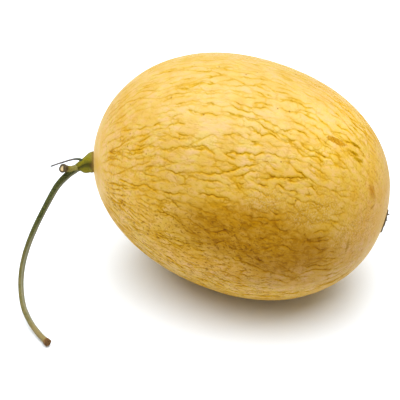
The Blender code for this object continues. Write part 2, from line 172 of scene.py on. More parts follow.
# Small marks: middle, the way it runs, half its length and half its width
BROWN_MARKS = (((0.0747, 0.0052, 0.1205), (0.78, 0.38, -0.49), 0.0062, 0.0018),)
OLIVE_MARKS = (
    ((0.0842, 0.0144, 0.1143), (0.68, 0.35, -0.64), 0.0038, 0.0010),
    ((0.0848, 0.0087, 0.1124), (0.67, 0.45, -0.59), 0.0033, 0.0010),
    ((0.0875, 0.0079, 0.1090), (0.62, 0.54, -0.57), 0.0037, 0.0012),
)
STROKE_MARKS = (
    ((0.0909, -0.0173, 0.0657), (-0.14, -0.13, -0.98), 0.0052, 0.0009),
    ((0.0993, 0.0028, 0.0823), (-0.25, -0.96, -0.15), 0.0024, 0.0008),
)
ORANGE_MARKS = (
    ((0.0977, 0.0059, 0.0906), (0.34, -0.05, -0.94), 0.0042, 0.0026),
)

RIND_BUMP = 0.0003             # heights of the finest relief, which only the materials have
STEM_BUMP = 0.0003
TENDRIL_BUMP = 0.0002
SCAR_BUMP = 0.0004
MARK_REACH = 6.0               # in mm, how far off the rind's point a mark still counts
DOT_SPACING = 7.0              # in mm
# Colours of the rind
CREAM = (0.585, 0.425, 0.098)
WARM_CREAM = (0.622, 0.393, 0.178)
GOLDEN = (0.580, 0.365, 0.024)
DARK_GOLDEN = (0.56, 0.322, 0.008)
UPPER_CREAM_AND_PAINTED_SHEEN = (0.575, 0.415, 0.15)
LOWER_TAN_AND_SHADE = (0.512, 0.290, 0.030)
DEEP_GOLDEN_AND_SHADE = (0.375, 0.175, 0.0008)
CHINK_BROWN = (0.30, 0.15, 0.02)
CORK_PALE = (0.62, 0.46, 0.23)
DOT_BROWN = (0.25, 0.11, 0.01)
SCAB_BROWN = (0.520, 0.262, 0.012)
# and what the colour under each detail or mark is multiplied by
BLOTCH_STAIN = (0.78, 0.70, 0.10)
PALE_SPECK_STAIN = (1.08, 1.14, 1.30)
DARK_SPECK_STAIN = (0.76, 0.68, 0.25)
FRECKLE_STAIN = (0.74, 0.60, 0.12)
WRINKLE_STAIN = (0.78, 0.68, 0.12)
STREAK_STAIN = (0.55, 0.45, 0.10)
BAND_STAIN = (0.87, 0.775, 0.04)
LINE_STAIN = (0.65, 0.545, 0.03)
HALO_STAIN = (1.0, 0.965, 0.42)
BROWN_MARK_STAIN = (0.64, 0.44, 0.04)
OLIVE_MARK_STAIN = (0.66, 0.60, 0.010)
STROKE_MARK_STAIN = (0.66, 0.57, 0.08)
ORANGE_MARK_STAIN = (0.78, 0.62, 0.04)

# The stem, from the fruit's middle in plan and the height above the floor
FOOT_RADIUS = 0.0064
FOOT_SUNK = 0.0003             # how far its rim lies under the rind
FOOT_RIDGES = 5
FOOT_RIDGE_TURN = math.radians(109)
FOOT_HOLLOW = 0.14             # how far its top is hollowed, as a share of its radius
FOOT_HOLLOW_TURN = math.radians(48)
SWELLING_MIDDLE = (-0.0890, -0.0303, 0.0738)   # the round swelling under the foot
SWELLING_RADIUS = 0.0028
SWELLING_STRETCH = 1.4
SWELLING_ALONG = Vector((0.934, 0.358, 0.0))
FOOT_CREASE = 0.24             # depth of the crease along one side, as a share of its radius
FOOT_CREASE_TURN = math.radians(163)
FOOT_CREASE_WIDTH = 0.26       # in radians
FOOT_CREASE_SHADE_WIDTH = 0.36        # and that of the painted shade in it
FOOT_END = 1.5                 # the way at which the foot has become the vine
VINE_WAY = 2.0                 # the way of all that follows
FOOT_REACH = 0.0045
FOOT_SETTLED = 0.4
FOOT_PROFILE = (               # share of the way to the vine, share of the foot's radius, ridge depth
    (0.00, 1.00, 0.05),
    (0.10, 0.95, 0.07),
    (0.24, 0.82, 0.12),
    (0.40, 0.68, 0.13),
    (0.56, 0.55, 0.12),
    (0.72, 0.45, 0.09),
    (0.88, 0.39, 0.07),
)
VINE_RADIUS = 0.0020
VINE_RIDGES = 0.06             # height of its five ribs, as a share of its radius
VINE_SIDES = 60
VINE_ROUTE = (                 # places on its way and shares of its radius
    ((-0.0952, -0.0330, 0.0735), 1.20),
    ((-0.0993, -0.0360, 0.0700), 1.12),
    ((-0.1041, -0.0413, 0.0640), 1.02),
    ((-0.1077, -0.0510, 0.0545), 0.93),
    ((-0.1112, -0.0592, 0.0440), 0.91),
    ((-0.1136, -0.0670, 0.0335), 0.90),
    ((-0.1144, -0.0742, 0.0230), 0.89),
    ((-0.1121, -0.0822, 0.0140), 0.87),
    ((-0.1058, -0.0922, 0.0077), 0.86),
    ((-0.0970, -0.1008, 0.0044), 0.86),
    ((-0.0880, -0.1074, 0.0031), 0.88),
    ((-0.0831, -0.1105, 0.0030), 0.93),
    ((-0.0816, -0.1115, 0.0031), 1.12),
    ((-0.0796, -0.1128, 0.0032), 1.18),
)
TORN_END = (                   # share of the vine's radius and height over its end
    (0.93, 0.00025),
    (0.80, 0.00030),
    (0.62, -0.00010),
    (0.45, -0.00030),
    (0.20, 0.00010),
)
STUB_ROUTE = (
    ((-0.0940, -0.0325, 0.0745), 1.00),
    ((-0.0970, -0.0346, 0.0744), 0.90),
    ((-0.0992, -0.0366, 0.0753), 1.00),
    ((-0.1000, -0.0394, 0.0771), 1.22),
)
STUB_RADIUS = 0.0020
STUB_SIDES = 36
STUB_END = (                   # radius, height over the stub's end and share of its pale heart
    (0.00258, 0.00035, 0.0),
    (0.00250, 0.00080, 0.0),
    (0.00220, 0.00105, 0.0),
    (0.00175, 0.00095, 0.0),
    (0.00145, 0.00065, 0.4),
    (0.00125, 0.00040, 1.0),
    (0.00085, 0.00035, 1.0),
    (0.00040, 0.00045, 1.0),
)
TENDRIL_ROUTE = (
    ((-0.0895, -0.0290, 0.0775), 1.40),
    ((-0.0927, -0.0303, 0.0796), 1.20),
    ((-0.0951, -0.0316, 0.0802), 1.00),
    ((-0.0981, -0.0337, 0.0800), 0.85),
    ((-0.1022, -0.0366, 0.0790), 0.80),
    ((-0.1054, -0.0385, 0.0780), 0.75),
    ((-0.1083, -0.0400, 0.0768), 0.85),
)
TENDRIL_RADIUS = 0.00070
LINE_STEPS = 8                 # steps of these growths from knot to knot
FRUIT_SIDE = Vector((0.978, 0.148, 0.149))   # the way the vine's painted highlight faces, its side towards the fruit
ASIDE = Vector((0.934, 0.358, 0.0))          # the side on which the stub's heart is covered

# The blossom scar
SCAR_RADIUS = 0.0070
SCAR_DISC = Vector((0.993, 0.100, -0.074)).normalized()
SCAR_RAGGED = 0.07             # how far its edge goes in and out, as a share of its radius
SCAR_SIDES = 96
SCAR_PROFILE = (               # share of its radius and height over the rind
    (1.00, -0.0004),
    (1.03, 0.0001),
    (1.00, 0.0003),
    (0.94, 0.0004),
    (0.85, 0.0004),
    (0.74, 0.0003),
    (0.64, 0.0003),
    (0.51, 0.0003),
    (0.38, 0.0005),
    (0.26, 0.0006),
    (0.13, 0.0006),
)
BRISTLE_RADIUS = 0.0006
BRISTLES = (                   # turn round the scar in degrees, distance from its middle, length
    (80.0, 0.0062, 0.0014),
    (200.0, 0.0030, 0.0013),
)

# The view
AZIMUTH = math.radians(21.0)
ELEVATION = math.radians(35.0)
DISTANCE = 0.90
AIM_ASIDE = -0.0245            # how far right of the fruit's middle the view is aimed
AIM_ABOVE = -0.0187            # and how far above it
FRUIT_MIDDLE = Vector((0.01116, 0.02176, 0.07138))
LENS = 131.07                  # in mm, as is the sensor's width
SENSOR_WIDTH = 36.0
LIGHT_COLOUR = (0.99, 1.0, 1.02)
LIGHT_POWER = 56.0
LIGHT_PLACE = (-0.04, 0.05, 1.4)
LIGHT_TARGET = (0.0, 0.02, 0.05)
LIGHT_WIDTH = 2.4
LIGHT_DEPTH = 2.2
WORLD_COLOUR = (1.0, 0.98, 0.88, 1.0)
WORLD_STRENGTH = 0.36
FLOOR_COLOUR = (0.885, 0.935, 1.0, 1.0)
FLOOR_REACH = 4.0
FLOOR_DROP = 0.0002            # how far the floor lies under the fruit


class Nodes:
    """Adds nodes to a shader or geometry tree and links them."""

    def __init__(self, tree):
        self.tree = tree

    def add(self, kind, **settings):
        node = self.tree.nodes.new(kind)
        for name, value in settings.items():
            setattr(node, name, value)
        return node

    def feed(self, socket, value):
        if isinstance(value, bpy.types.NodeSocket):
            self.tree.links.new(value, socket)
        else:
            socket.default_value = value

    def math(self, operation, first, second=None, third=None, clamp=False):
        node = self.add("ShaderNodeMath", operation=operation, use_clamp=clamp)
        for socket, value in zip(node.inputs, (first, second, third)):
            if value is not None:
                self.feed(socket, value)
        return node.outputs[0]

    def times(self, first, *others):
        for other in others:
            first = self.math("MULTIPLY", first, other)
        return first

    def plus(self, first, second):
        return self.math("ADD", first, second)

    def most(self, first, *others):
        for other in others:
            first = self.math("MAXIMUM", first, other)
        return first

    def vector(self, operation, first, second):
        node = self.add("ShaderNodeVectorMath", operation=operation)
        self.feed(node.inputs[0], first)
        if operation == "SCALE":
            self.feed(node.inputs["Scale"], second)
        else:
            self.feed(node.inputs[1], second)
        return node.outputs["Value" if operation in ("LENGTH", "DISTANCE", "DOT_PRODUCT") else "Vector"]

    def noise(self, place, size, detail=2.0, roughness=0.5):
        node = self.add("ShaderNodeTexNoise")
        self.feed(node.inputs["Vector"], place)
        self.feed(node.inputs["Scale"], 1.0 / size)
        self.feed(node.inputs["Detail"], detail)
        self.feed(node.inputs["Roughness"], roughness)
        return node

    def value_noise(self, place, size, detail=2.0, roughness=0.5):
        return self.noise(place, size, detail, roughness).outputs[0]

    def sway(self, place, size, reach, detail=1.0):
        """The place moved about by up to about half its reach, over patches of a size."""
        drift = self.noise(place, size, detail).outputs[1]
        centred = self.vector("SUBTRACT", drift, (0.5, 0.5, 0.5))
        return self.vector("ADD", place, self.vector("SCALE", centred, reach))

    def drawn_out(self, place, share):
        """The place shrunk along the first axis, so that what it carries is longer there."""
        return self.vector("MULTIPLY", place, (share, 1.0, 1.0))

    def edge(self, place, size):
        """Distance to the nearest border between cells of a size, in the place's own units."""
        node = self.add("ShaderNodeTexVoronoi", feature="DISTANCE_TO_EDGE")
        self.feed(node.inputs["Vector"], place)
        self.feed(node.inputs["Scale"], 1.0 / size)
        return self.math("MULTIPLY", node.outputs["Distance"], size)

    def spread(self, value, low, high, start=0.0, end=1.0):
        """A smooth step from start at low to end at high."""
        node = self.add("ShaderNodeMapRange", interpolation_type="SMOOTHSTEP")
        for name, given in (("Value", value), ("From Min", low), ("From Max", high),
                            ("To Min", start), ("To Max", end)):
            self.feed(node.inputs[name], given)
        return node.outputs["Result"]

    def blend(self, share, first, second):
        """A colour between two, each a socket or red, green and blue."""
        node = self.add("ShaderNodeMix", data_type="RGBA")
        self.feed(node.inputs[0], share)
        for socket, colour in ((node.inputs[6], first), (node.inputs[7], second)):
            self.feed(socket, (*colour, 1.0) if isinstance(colour, tuple) else colour)
        return node.outputs[2]

    def grade(self, value, low, high, first, second):
        """A colour that turns from the first to the second as a value goes from low to high."""
        return self.blend(self.spread(value, low, high), first, second)

    def stain(self, share, colour, factors):
        """A colour multiplied by factors, as far as the share says."""
        return self.blend(share, colour, self.vector("MULTIPLY", colour, factors))


class Furrow:
    """One furrow of the net, as it grows from ring to ring."""

    def __init__(self, turn, came_from, strength, aim, drift):
        self.turn = turn
        self.came_from = came_from
        self.strength = strength
        self.aim = aim
        self.drift = drift
        self.lean = 0.0
        self.pull = 0.0
        self.age = 0.0
        self.column = round(turn / NET_COLUMN)


def wave_sum(waves, draw):
    """A smooth random function of the reach along the fruit and the turn round it."""
    made = [
        (count, 2.0 * math.pi / length * draw.choice((-1, 1)), size, draw.uniform(0.0, 2.0 * math.pi))
        for count, length, size in waves
    ]
    return lambda reach, turn: sum(
        size * math.sin(count * turn + rate * reach + phase) for count, rate, size, phase in made)


def some_aim(draw):
    """The strength that a new furrow grows to: a few are strong, more are weak."""
    return draw.uniform(0.8, 1.0) if draw.random() < STRONG_SHARE else draw.uniform(0.25, 0.6)


def first_furrows(radius, draw):
    count = int(2.0 * math.pi * radius / GAP)
    lines = []
    for place in range(count):
        column = round(NET_SIDES * (place + draw.uniform(-0.25, 0.25)) / count)
        lines.append(Furrow(column * NET_COLUMN, [], 0.0, some_aim(draw), 0.0))
    return lines


def gap_after(lines, place, radius):
    after = lines[(place + 1) % len(lines)]
    return (after.turn - lines[place].turn) % (2.0 * math.pi) * radius


def move_furrows(lines, reach, radius, step, flow, draw):
    """Moves every furrow sideways by the common flow, its own drift and its neighbours' room."""
    gaps = [gap_after(lines, place, radius) for place in range(len(lines))]
    limit = 0.98 * NET_COLUMN * radius
    for place, line in enumerate(lines):
        line.drift -= line.drift / DRIFT_LENGTH * step
        line.drift += DRIFT * math.sqrt(2.0 * step / DRIFT_LENGTH) * draw.gauss(0.0, 1.0)
        line.lean -= line.lean / LEAN_LENGTH * step
        line.lean += LEAN * math.sqrt(2.0 * step / LEAN_LENGTH) * draw.gauss(0.0, 1.0)
        room = CENTRING * (gaps[place] - gaps[place - 1])
        room = max(-MOST_CENTRING, min(MOST_CENTRING, room))
        slope = flow(reach, line.turn) + line.drift + line.lean + line.pull + room
        line.turn += max(-limit, min(limit, slope * step)) / radius
        line.age += step
        line.came_from = [line.column]
        line.strength += (line.aim - line.strength) * step / STRENGTH_LENGTH
        if line.aim > 0.0:
            line.aim = max(0.2, min(1.0, line.aim + draw.gauss(0.0, STRENGTH_CHANGE)))
    return gaps


def branch_furrow(line, side):
    turn = line.turn + side * NET_COLUMN
    return Furrow(turn, line.came_from[:1], line.strength, 0.0, BRANCH_SLOPE * side)


def born_furrows(lines, gaps, reach, radius, step, density, draw):
    """New furrows in wide gaps; it also picks the furrows that turn to a neighbour or fade."""
    born = []
    for place, line in enumerate(lines):
        after = lines[(place + 1) % len(lines)]
        gap = gap_after(lines, place, radius)
        usual = GAP * (1.0 + density(reach, line.turn)) * gap_share(reach, line.turn)
        if gap > SPLIT_GAP * usual and draw.random() < SPLIT_CHANCE:
            kind = draw.random()
            if kind < BRANCH_SHARE / 2.0:
                child = branch_furrow(line, 1.0)
            elif kind < BRANCH_SHARE:
                child = branch_furrow(after, -1.0)
            else:
                turn = line.turn + draw.uniform(0.35, 0.65) * gap / radius
                child = Furrow(turn, [], 0.0, 0.0, draw.gauss(0.0, DRIFT))
            child.aim = some_aim(draw)
            born.append(child)
        elif line.pull == 0.0 and line.age > LEAST_AGE and draw.random() < step / MERGE_LENGTH:
            line.pull = MERGE_SLOPE if gaps[place] < gaps[place - 1] else -MERGE_SLOPE
        elif line.pull == 0.0 and draw.random() < step / FADE_LENGTH:
            line.aim = 0.0
    return born


def settle_furrows(lines):
    """Sorts the furrows, gives each its column and joins those that meet."""
    kept = []
    for line in sorted(lines, key=lambda one: one.turn):
        line.column = round(line.turn / NET_COLUMN)
        if line.came_from:
            line.column = max(line.came_from[0] - 1, min(line.came_from[0] + 1, line.column))
        if not kept or line.column > kept[-1].column:
            kept.append(line)
            continue
        other = kept[-1]
        winner = other if other.strength >= line.strength else line
        winner.came_from = other.came_from + line.came_from
        winner.column = other.column
        winner.pull = 0.0
        winner.age = 0.0
        kept[-1] = winner
    while kept[-1].column >= kept[0].column + NET_SIDES:
        kept[0].came_from += [column - NET_SIDES for column in kept[-1].came_from]
        kept.pop()
    return kept


def grow_net(reaches, radii):
    """For each ring the furrows that cross it, as (column, turn, strength, columns they came from)."""
    draw = random.Random(NET_SEED)
    flow = wave_sum(FLOW_WAVES, draw)
    density = wave_sum(GAP_WAVES, draw)
    step = RING_STEP * 1000.0
    rows = []
    lines = None
    for reach, radius in zip(reaches, radii):
        if radius < RING_SIDES[0][0]:
            rows.append([])
            continue
        radius *= 1000.0
        if lines is None:
            lines = first_furrows(radius, draw)
        else:
            gaps = move_furrows(lines, reach, radius, step, flow, draw)
            lines += born_furrows(lines, gaps, reach, radius, step, density, draw)
            lines = [line for line in lines if line.aim > 0.0 or line.strength > LEAST_STRENGTH]
            lines = settle_furrows(lines)
        rows.append([(line.column, line.turn, line.strength, list(line.came_from)) for line in lines])
    return rows


def gap_share(reach, turn):
    """Narrower gaps low on the stem half."""
    low = math.cos(turn - NARROW_TURN)
    return 1.0 - NARROWING * smoothstep(0.75, 0.95, low) * smoothstep(-20.0, 25.0, reach)


def smoothstep(low, high, value):
    share = np.clip((value - low) / (high - low), 0.0, 1.0)
    return share * share * (3.0 - 2.0 * share)


def rise(low, high, value):
    """The same for one number."""
    return float(smoothstep(low, high, value))


def place_columns(row, radius):
    """A ring's turns, with a vertex on each furrow, and how far off and how strong the furrows are."""
    turns = np.zeros(NET_SIDES)
    away = np.zeros(NET_SIDES)
    strengths = np.zeros(NET_SIDES)
    for place, (column, turn, strength, _) in enumerate(row):
        next_column, next_turn, next_strength, _ = row[(place + 1) % len(row)]
        if place + 1 == len(row):
            next_column += NET_SIDES
            next_turn += 2.0 * math.pi
        count = next_column - column
        gap = next_turn - turn
        even = gap / count
        near = min(even, HALF_FURROW / radius)
        first = even + (near - even) * min(1.0, 2.0 * strength)
        last = even + (near - even) * min(1.0, 2.0 * next_strength)
        for k in range(count):
            if k == 0:
                offset = 0.0
            elif count == 2:
                offset = gap / 2.0
            else:
                offset = first + (gap - first - last) * (k - 1) / (count - 2)
            here = (column + k) % NET_SIDES
            turns[here] = turn + offset
            away[here] = min(offset, gap - offset) * radius
            strengths[here] = strength + (next_strength - strength) * offset / gap
    return turns, away, strengths


def add_rungs(rows, aways, strengths, slants, draw):
    """Short cross links from one furrow to the next, which step over up to three rings."""
    for number, row in enumerate(rows):
        if not RUNG_MARGIN < number < len(rows) - RUNG_MARGIN - 1 or not row:
            continue
        if not rows[number - RUNG_MARGIN] or not rows[number + RUNG_MARGIN]:
            continue
        for place, (column, _, strength, _) in enumerate(row[:-1]):
            if draw.random() > RING_STEP * 1000.0 / RUNG_LENGTH:
                continue
            target, _, other, _ = row[place + 1]
            if not RUNG_COLUMNS[0] <= target - column <= RUNG_COLUMNS[1]:
                continue
            climb = draw.choice(RUNG_CLIMBS)
            size = draw.uniform(0.25, 0.7) * max(strength, other)
            ring = number
            for step in range(1, target - column):
                wanted_ring = number + round(climb * step / (target - column))
                here = (column + step) % NET_SIDES
                if wanted_ring != ring:
                    low_ring = min(ring, wanted_ring)
                    quad = (column + step - 1) % NET_SIDES
                    slants[low_ring][quad] = 1 if wanted_ring > ring else -1
                    ring = wanted_ring
                aways[ring][here] = 0.0
                strengths[ring][here] = size


def net_slants(rows):
    """Which way each square between two rings is split, so that an edge follows each furrow."""
    slants = []
    for number in range(len(rows)):
        slant = np.zeros(NET_SIDES, int)
        if number + 1 < len(rows):
            for column, _, _, came_from in rows[number + 1]:
                for start in came_from:
                    if column - start == 1:
                        slant[start % NET_SIDES] = 1
                    elif column - start == -1:
                        slant[column % NET_SIDES] = -1
        slants.append(slant)
    return slants


def join_net_rings(first, second, first_turns, second_turns, slant):
    """Triangles between two full rings, split along the furrows or else the shorter way."""
    faces = []
    for place in range(NET_SIDES):
        after = (place + 1) % NET_SIDES
        rising = slant[place] == 1
        if slant[place] == 0:
            rise = abs(wrapped(second_turns[after] - first_turns[place]))
            fall = abs(wrapped(first_turns[after] - second_turns[place]))
            rising = rise < fall
        if rising:
            faces.append((first[place], second[place], second[after]))
            faces.append((first[place], second[after], first[after]))
        else:
            faces.append((first[place], second[place], first[after]))
            faces.append((first[after], second[place], second[after]))
    return faces


def wrapped(turn):
    return (turn + math.pi) % (2.0 * math.pi) - math.pi


def lift_at(share):
    """How far the body's middle line rises at a share of its half length."""
    return FRUIT_DIAMETER / 2 * (1.0 - share ** 2) * (ARCH - SWAY * share)


def body_skin(directions):
    """Points of the smooth body that unit directions name, in the fruit's own axes."""
    cosine = directions[:, 0]
    sine = np.sqrt(np.maximum(1e-12, 1.0 - cosine ** 2))
    share = np.sign(cosine) * np.abs(cosine) ** (2.0 / FULLNESS)
    radius = FRUIT_DIAMETER / 2 * sine ** (2.0 / FULLNESS) * (1.0 + EGG * share)
    points = np.stack((
        FRUIT_LENGTH / 2 * share,
        radius * directions[:, 1] / sine,
        radius * directions[:, 2] / sine + lift_at(share),
    ), axis=1)
    turn = np.arctan2(directions[:, 2], directions[:, 1])
    swell = SWELL * sine ** 4 * np.sin(SWELLS * turn + 1.0 + 2.0 * cosine)
    outward = points / np.linalg.norm(points, axis=1, keepdims=True)
    return points + outward * swell[:, None]


def net_directions(angle, turns):
    """Unit directions for a ring of the net, whose two ends run to the scar and the stem."""
    plain = np.stack((
        np.full_like(turns, math.cos(angle)),
        math.sin(angle) * np.cos(turns),
        math.sin(angle) * np.sin(turns),
    ), axis=1)
    to_stem = Vector((-1, 0, 0)).rotation_difference(STEM_END)
    to_scar = Vector((1, 0, 0)).rotation_difference(SCAR_END)
    turned = to_stem.slerp(to_scar, (1.0 + math.cos(angle)) / 2).to_matrix()
    return plain @ np.array(turned).T


def meridian():
    """Angles off the blossom end for evenly spaced rings, with each ring's reach along and its radius."""
    angles = np.linspace(0.0, math.pi, 4001)
    share = np.sign(np.cos(angles)) * np.abs(np.cos(angles)) ** (2.0 / FULLNESS)
    radius = FRUIT_DIAMETER / 2 * np.sin(angles) ** (2.0 / FULLNESS)
    along = FRUIT_LENGTH / 2 * share
    walked = np.concatenate(([0.0], np.cumsum(np.hypot(np.diff(along), np.diff(radius)))))
    count = round(walked[-1] / RING_STEP)
    stops = np.linspace(0.0, walked[-1], count + 1)
    return (
        np.interp(stops, walked, angles),
        stops - walked[-1] / 2,
        np.interp(stops, walked, radius),
    )


def ring_sides(radius):
    for least, sides in RING_SIDES:
        if radius >= least:
            return sides


def join_rings(first, second):
    """Faces between two rings of vertex numbers, where one may have twice the other's sides."""
    faces = []
    if len(first) == len(second):
        count = len(first)
        for place in range(count):
            after = (place + 1) % count
            faces.append((first[place], second[place], second[after], first[after]))
        return faces
    turned = len(first) > len(second)
    coarse, fine = (second, first) if turned else (first, second)
    for place in range(len(coarse)):
        after = (place + 1) % len(coarse)
        left, middle = fine[2 * place], fine[2 * place + 1]
        right = fine[(2 * place + 2) % len(fine)]
        made = [
            (coarse[place], left, middle),
            (coarse[place], middle, coarse[after]),
            (coarse[after], middle, right),
        ]
        faces.extend(tuple(reversed(face)) if turned else face for face in made)
    return faces


def fruit_grid():
    """Directions, net places in mm, furrow distances, strengths and faces of the fruit's fine mesh."""
    angles, reaches, radii = meridian()
    rows = grow_net(reaches * 1000.0, radii)
    slants = net_slants(rows)
    turns, aways, strengths = [], [], []
    for row, radius in zip(rows, radii):
        if row:
            found = place_columns(row, radius * 1000.0)
        else:
            sides = 1 if radius < RING_STEP / 2 else ring_sides(radius)
            found = np.arange(sides) / sides * 2.0 * math.pi, np.full(sides, FAR_OFF), np.zeros(sides)
        for kept, values in zip((turns, aways, strengths), found):
            kept.append(values)
    add_rungs(rows, aways, strengths, slants, random.Random(NET_SEED + 1))
    directions, places, rings, faces = [], [], [], []
    start = 0
    for angle, reach, radius, ring_turns in zip(angles, reaches, radii, turns):
        rings.append(list(range(start, start + len(ring_turns))))
        start += len(ring_turns)
        directions.append(net_directions(angle, ring_turns))
        places.append(np.stack((
            np.full_like(ring_turns, reach),
            radius * np.cos(ring_turns),
            radius * np.sin(ring_turns),
        ), axis=1) * 1000.0)
    for number, (first, second) in enumerate(zip(rings, rings[1:])):
        if len(first) == 1:
            faces.extend((first[0], second[k], second[(k + 1) % len(second)]) for k in range(len(second)))
        elif len(second) == 1:
            faces.extend((first[k], second[0], first[(k + 1) % len(first)]) for k in range(len(first)))
        elif rows[number] and rows[number + 1]:
            faces.extend(join_net_rings(first, second, turns[number], turns[number + 1], slants[number]))
        else:
            faces.extend(join_rings(first, second))
    joined = [np.concatenate(kept) for kept in (directions, places, aways, strengths)]
    return (*joined, faces)


def make_mesh(name, points, faces):
    mesh = bpy.data.meshes.new(name)
    mesh.from_pydata([tuple(point) for point in points], [], faces)
    mesh.update()
    mesh.shade_smooth()
    return mesh


def add_piece(name, mesh, material):
    piece = bpy.data.objects.new(name, mesh)
    bpy.context.scene.collection.objects.link(piece)
    mesh.materials.append(material)
    return piece


def outside(point):
    """Above zero outside the smooth body, below zero inside it."""
    share = point.x / (FRUIT_LENGTH / 2)
    radius = math.hypot(point.y, point.z - lift_at(share)) / (1.0 + EGG * share)
    return abs(share) ** FULLNESS + (radius / (FRUIT_DIAMETER / 2)) ** FULLNESS - 1.0


def tangent_frame(direction):
    """The body's point in a direction, its outward normal and two directions across that."""
    origin = Vector(body_skin(np.array([direction]))[0])
    steps = [0.002 * Vector(axis) for axis in ((1, 0, 0), (0, 1, 0), (0, 0, 1))]
    normal = Vector([outside(origin + step) - outside(origin - step) for step in steps]).normalized()
    across = normal.cross(Vector((0, 0, 1))).normalized()
    return origin, normal, across, across.cross(normal).normalized()


def over_skin(skin, turn, distance, height):
    """A point at a height over the body, a distance away from a tangent frame's origin."""
    origin, normal, across, upward = skin
    point = origin + distance * round_way(turn, across, upward)
    low, high = -0.02, 0.02
    for _ in range(24):
        middle = (low + high) / 2
        if outside(point + middle * normal) > 0.0:
            high = middle
        else:
            low = middle
    return point + (low + height) * normal


def store_vectors(mesh, name, values):
    """Keeps three numbers at each point of a mesh, which its material reads."""
    kept = mesh.attributes.new(name, "FLOAT_VECTOR", "POINT")
    kept.data.foreach_set("vector", np.asarray(values, np.float32).ravel())


def fruit_placement():
    """The turn and the shift that set the body on the floor and over the solid's middle."""
    turn = np.array(Matrix.Rotation(TILT, 3, "Y"))
    around = np.arange(180) / 90.0 * math.pi
    angles = np.linspace(0.02, math.pi - 0.02, 181)
    smooth = np.concatenate([body_skin(net_directions(angle, around)) for angle in angles]) @ turn.T
    low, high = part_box("melon_fruit")
    shift = np.array([
        (low.x + high.x) / 2 - (smooth[:, 0].min() + smooth[:, 0].max()) / 2,
        (low.y + high.y) / 2 - (smooth[:, 1].min() + smooth[:, 1].max()) / 2,
        -smooth[:, 2].min() - FLAT_DEPTH,
    ])
    return turn, shift


def spot(points, middle, radii, softness=0.5):
    """How far inside a soft spot each point is: 1 well inside, 0 outside."""
    away = np.linalg.norm((points - np.array(middle)) / np.array(radii), axis=1)
    return 1.0 - smoothstep(1.0 - softness, 1.0 + softness, away)


def zones(points, places):
    return np.max([spot(points, middle, radii) for middle, radii in places], axis=0)


def tints(points):
    """What each point's colour is multiplied by: partly its own tint, partly painted shade and painted
    light.
    """
    found = np.ones((len(points), 3))
    for middle, radii, tint in TINTS_AND_PAINTED_LIGHT:
        found *= 1.0 + spot(points, middle, radii, 0.7)[:, None] * (np.array(tint) - 1.0)
    return found


def patchy(points, size):
    return np.array([noise.noise(Vector(point) / size) for point in points])


def net_strength(smooth, strength, netted, zone):
    """How strong the furrows are, after all that fades or breaks them."""
    strength = strength * netted * (1.0 - 0.75 * zone.far_end) * (1.0 - 0.6 * zone.cork)
    strength = strength * (1.0 - 0.55 * zones(smooth, FAINT_ZONES))
    strength = strength * (1.0 + 0.35 * zones(smooth, STRONG_ZONES))
    strength = strength * (0.65 + 0.35 * smoothstep(-0.40, 0.05, patchy(smooth, PATCH_SIZE)))
    return strength * (0.45 + 0.60 * smoothstep(-0.30, 0.10, patchy(smooth, BREAK_SIZE)))


def fruit_zones(smooth):
    """Where the rind is golden, corky, high, low, far along or streaky, each from 0 to 1; the golden, high
    and low zones also carry painted shade and painted light.
    """
    along, high = smooth[:, 0], smooth[:, 2]
    lower = 1.0 - smoothstep(0.092, 0.127, high)
    lower *= 0.45 + 0.55 * smoothstep(0.040, 0.062, high)
    lower *= 0.35 + 0.65 * smoothstep(-0.050, 0.005, along)
    lower *= 1.0 - 0.4 * smoothstep(0.080, 0.100, along)
    streaky = 1.0 - smoothstep(0.070, 0.105, high)
    streaky *= 1.0 - 0.80 * smoothstep(0.030, 0.075, along)
    return SimpleNamespace(
        golden=zones(smooth, GOLDEN_AND_SHADED_ZONES),
        cork=zones(smooth, CORK_ZONES),
        upper=smoothstep(0.105, 0.138, high),
        lower=lower,
        far_end=smoothstep(0.080, 0.095, along),
        streaky=streaky,
    )


def make_fruit(material, placement):
    directions, places, away, strength, faces = fruit_grid()
    turn, shift = placement
    smooth = body_skin(directions) @ turn.T + shift
    mesh = make_mesh("rind", smooth, faces)
    normals = np.zeros(len(mesh.vertices) * 3, np.float32)
    mesh.vertices.foreach_get("normal", normals)
    normals = normals.reshape(-1, 3).astype(float)
    lowest = smooth[smooth[:, 2].argmin()]
    netted = smoothstep(BARE_RADIUS, NETTED_RADIUS, np.linalg.norm(smooth - lowest, axis=1))
    netted = netted * smoothstep(BARE_END, NETTED_END, np.hypot(places[:, 1], places[:, 2]))
    zone = fruit_zones(smooth)
    strength = net_strength(smooth, strength, netted, zone)
    groove = 1.0 - smoothstep(0.0, GROOVE_REACH, away)
    core = np.maximum(0.0, 1.0 - away / HALF_FURROW)
    depth = strength * (1.0 - 0.4 * zone.upper) * (GROOVE_DEPTH * groove + FURROW_DEPTH * core)
    uneven = sum(height * patchy(smooth, size) for size, height in LUMP_SIZES)
    depth += RIND_INSET + (uneven.max() - uneven) * LUMP_SHARE
    points = smooth - normals * depth[:, None]
    points[:, 2] = np.maximum(points[:, 2], 0.0)
    mesh.vertices.foreach_set("co", points.astype(np.float32).ravel())
    mesh.update()
    store_vectors(mesh, "net", places)
    store_vectors(mesh, "furrow", np.stack((away, strength, netted), axis=1))
    store_vectors(mesh, "zones", np.stack((zone.golden, zone.cork, zone.upper), axis=1))
    store_vectors(mesh, "place", smooth * 1000.0)
    store_vectors(mesh, "sides", np.stack((zone.lower, zone.far_end, zone.streaky), axis=1))
    store_vectors(mesh, "tint", tints(smooth))
    fruit = add_piece("rind", mesh, material)
    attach(fruit, "root")
    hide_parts("melon_fruit")


def new_material(name):
    material = bpy.data.materials.new(name)
    material.use_nodes = True
    return material, Nodes(material.node_tree), material.node_tree.nodes["Principled BSDF"]


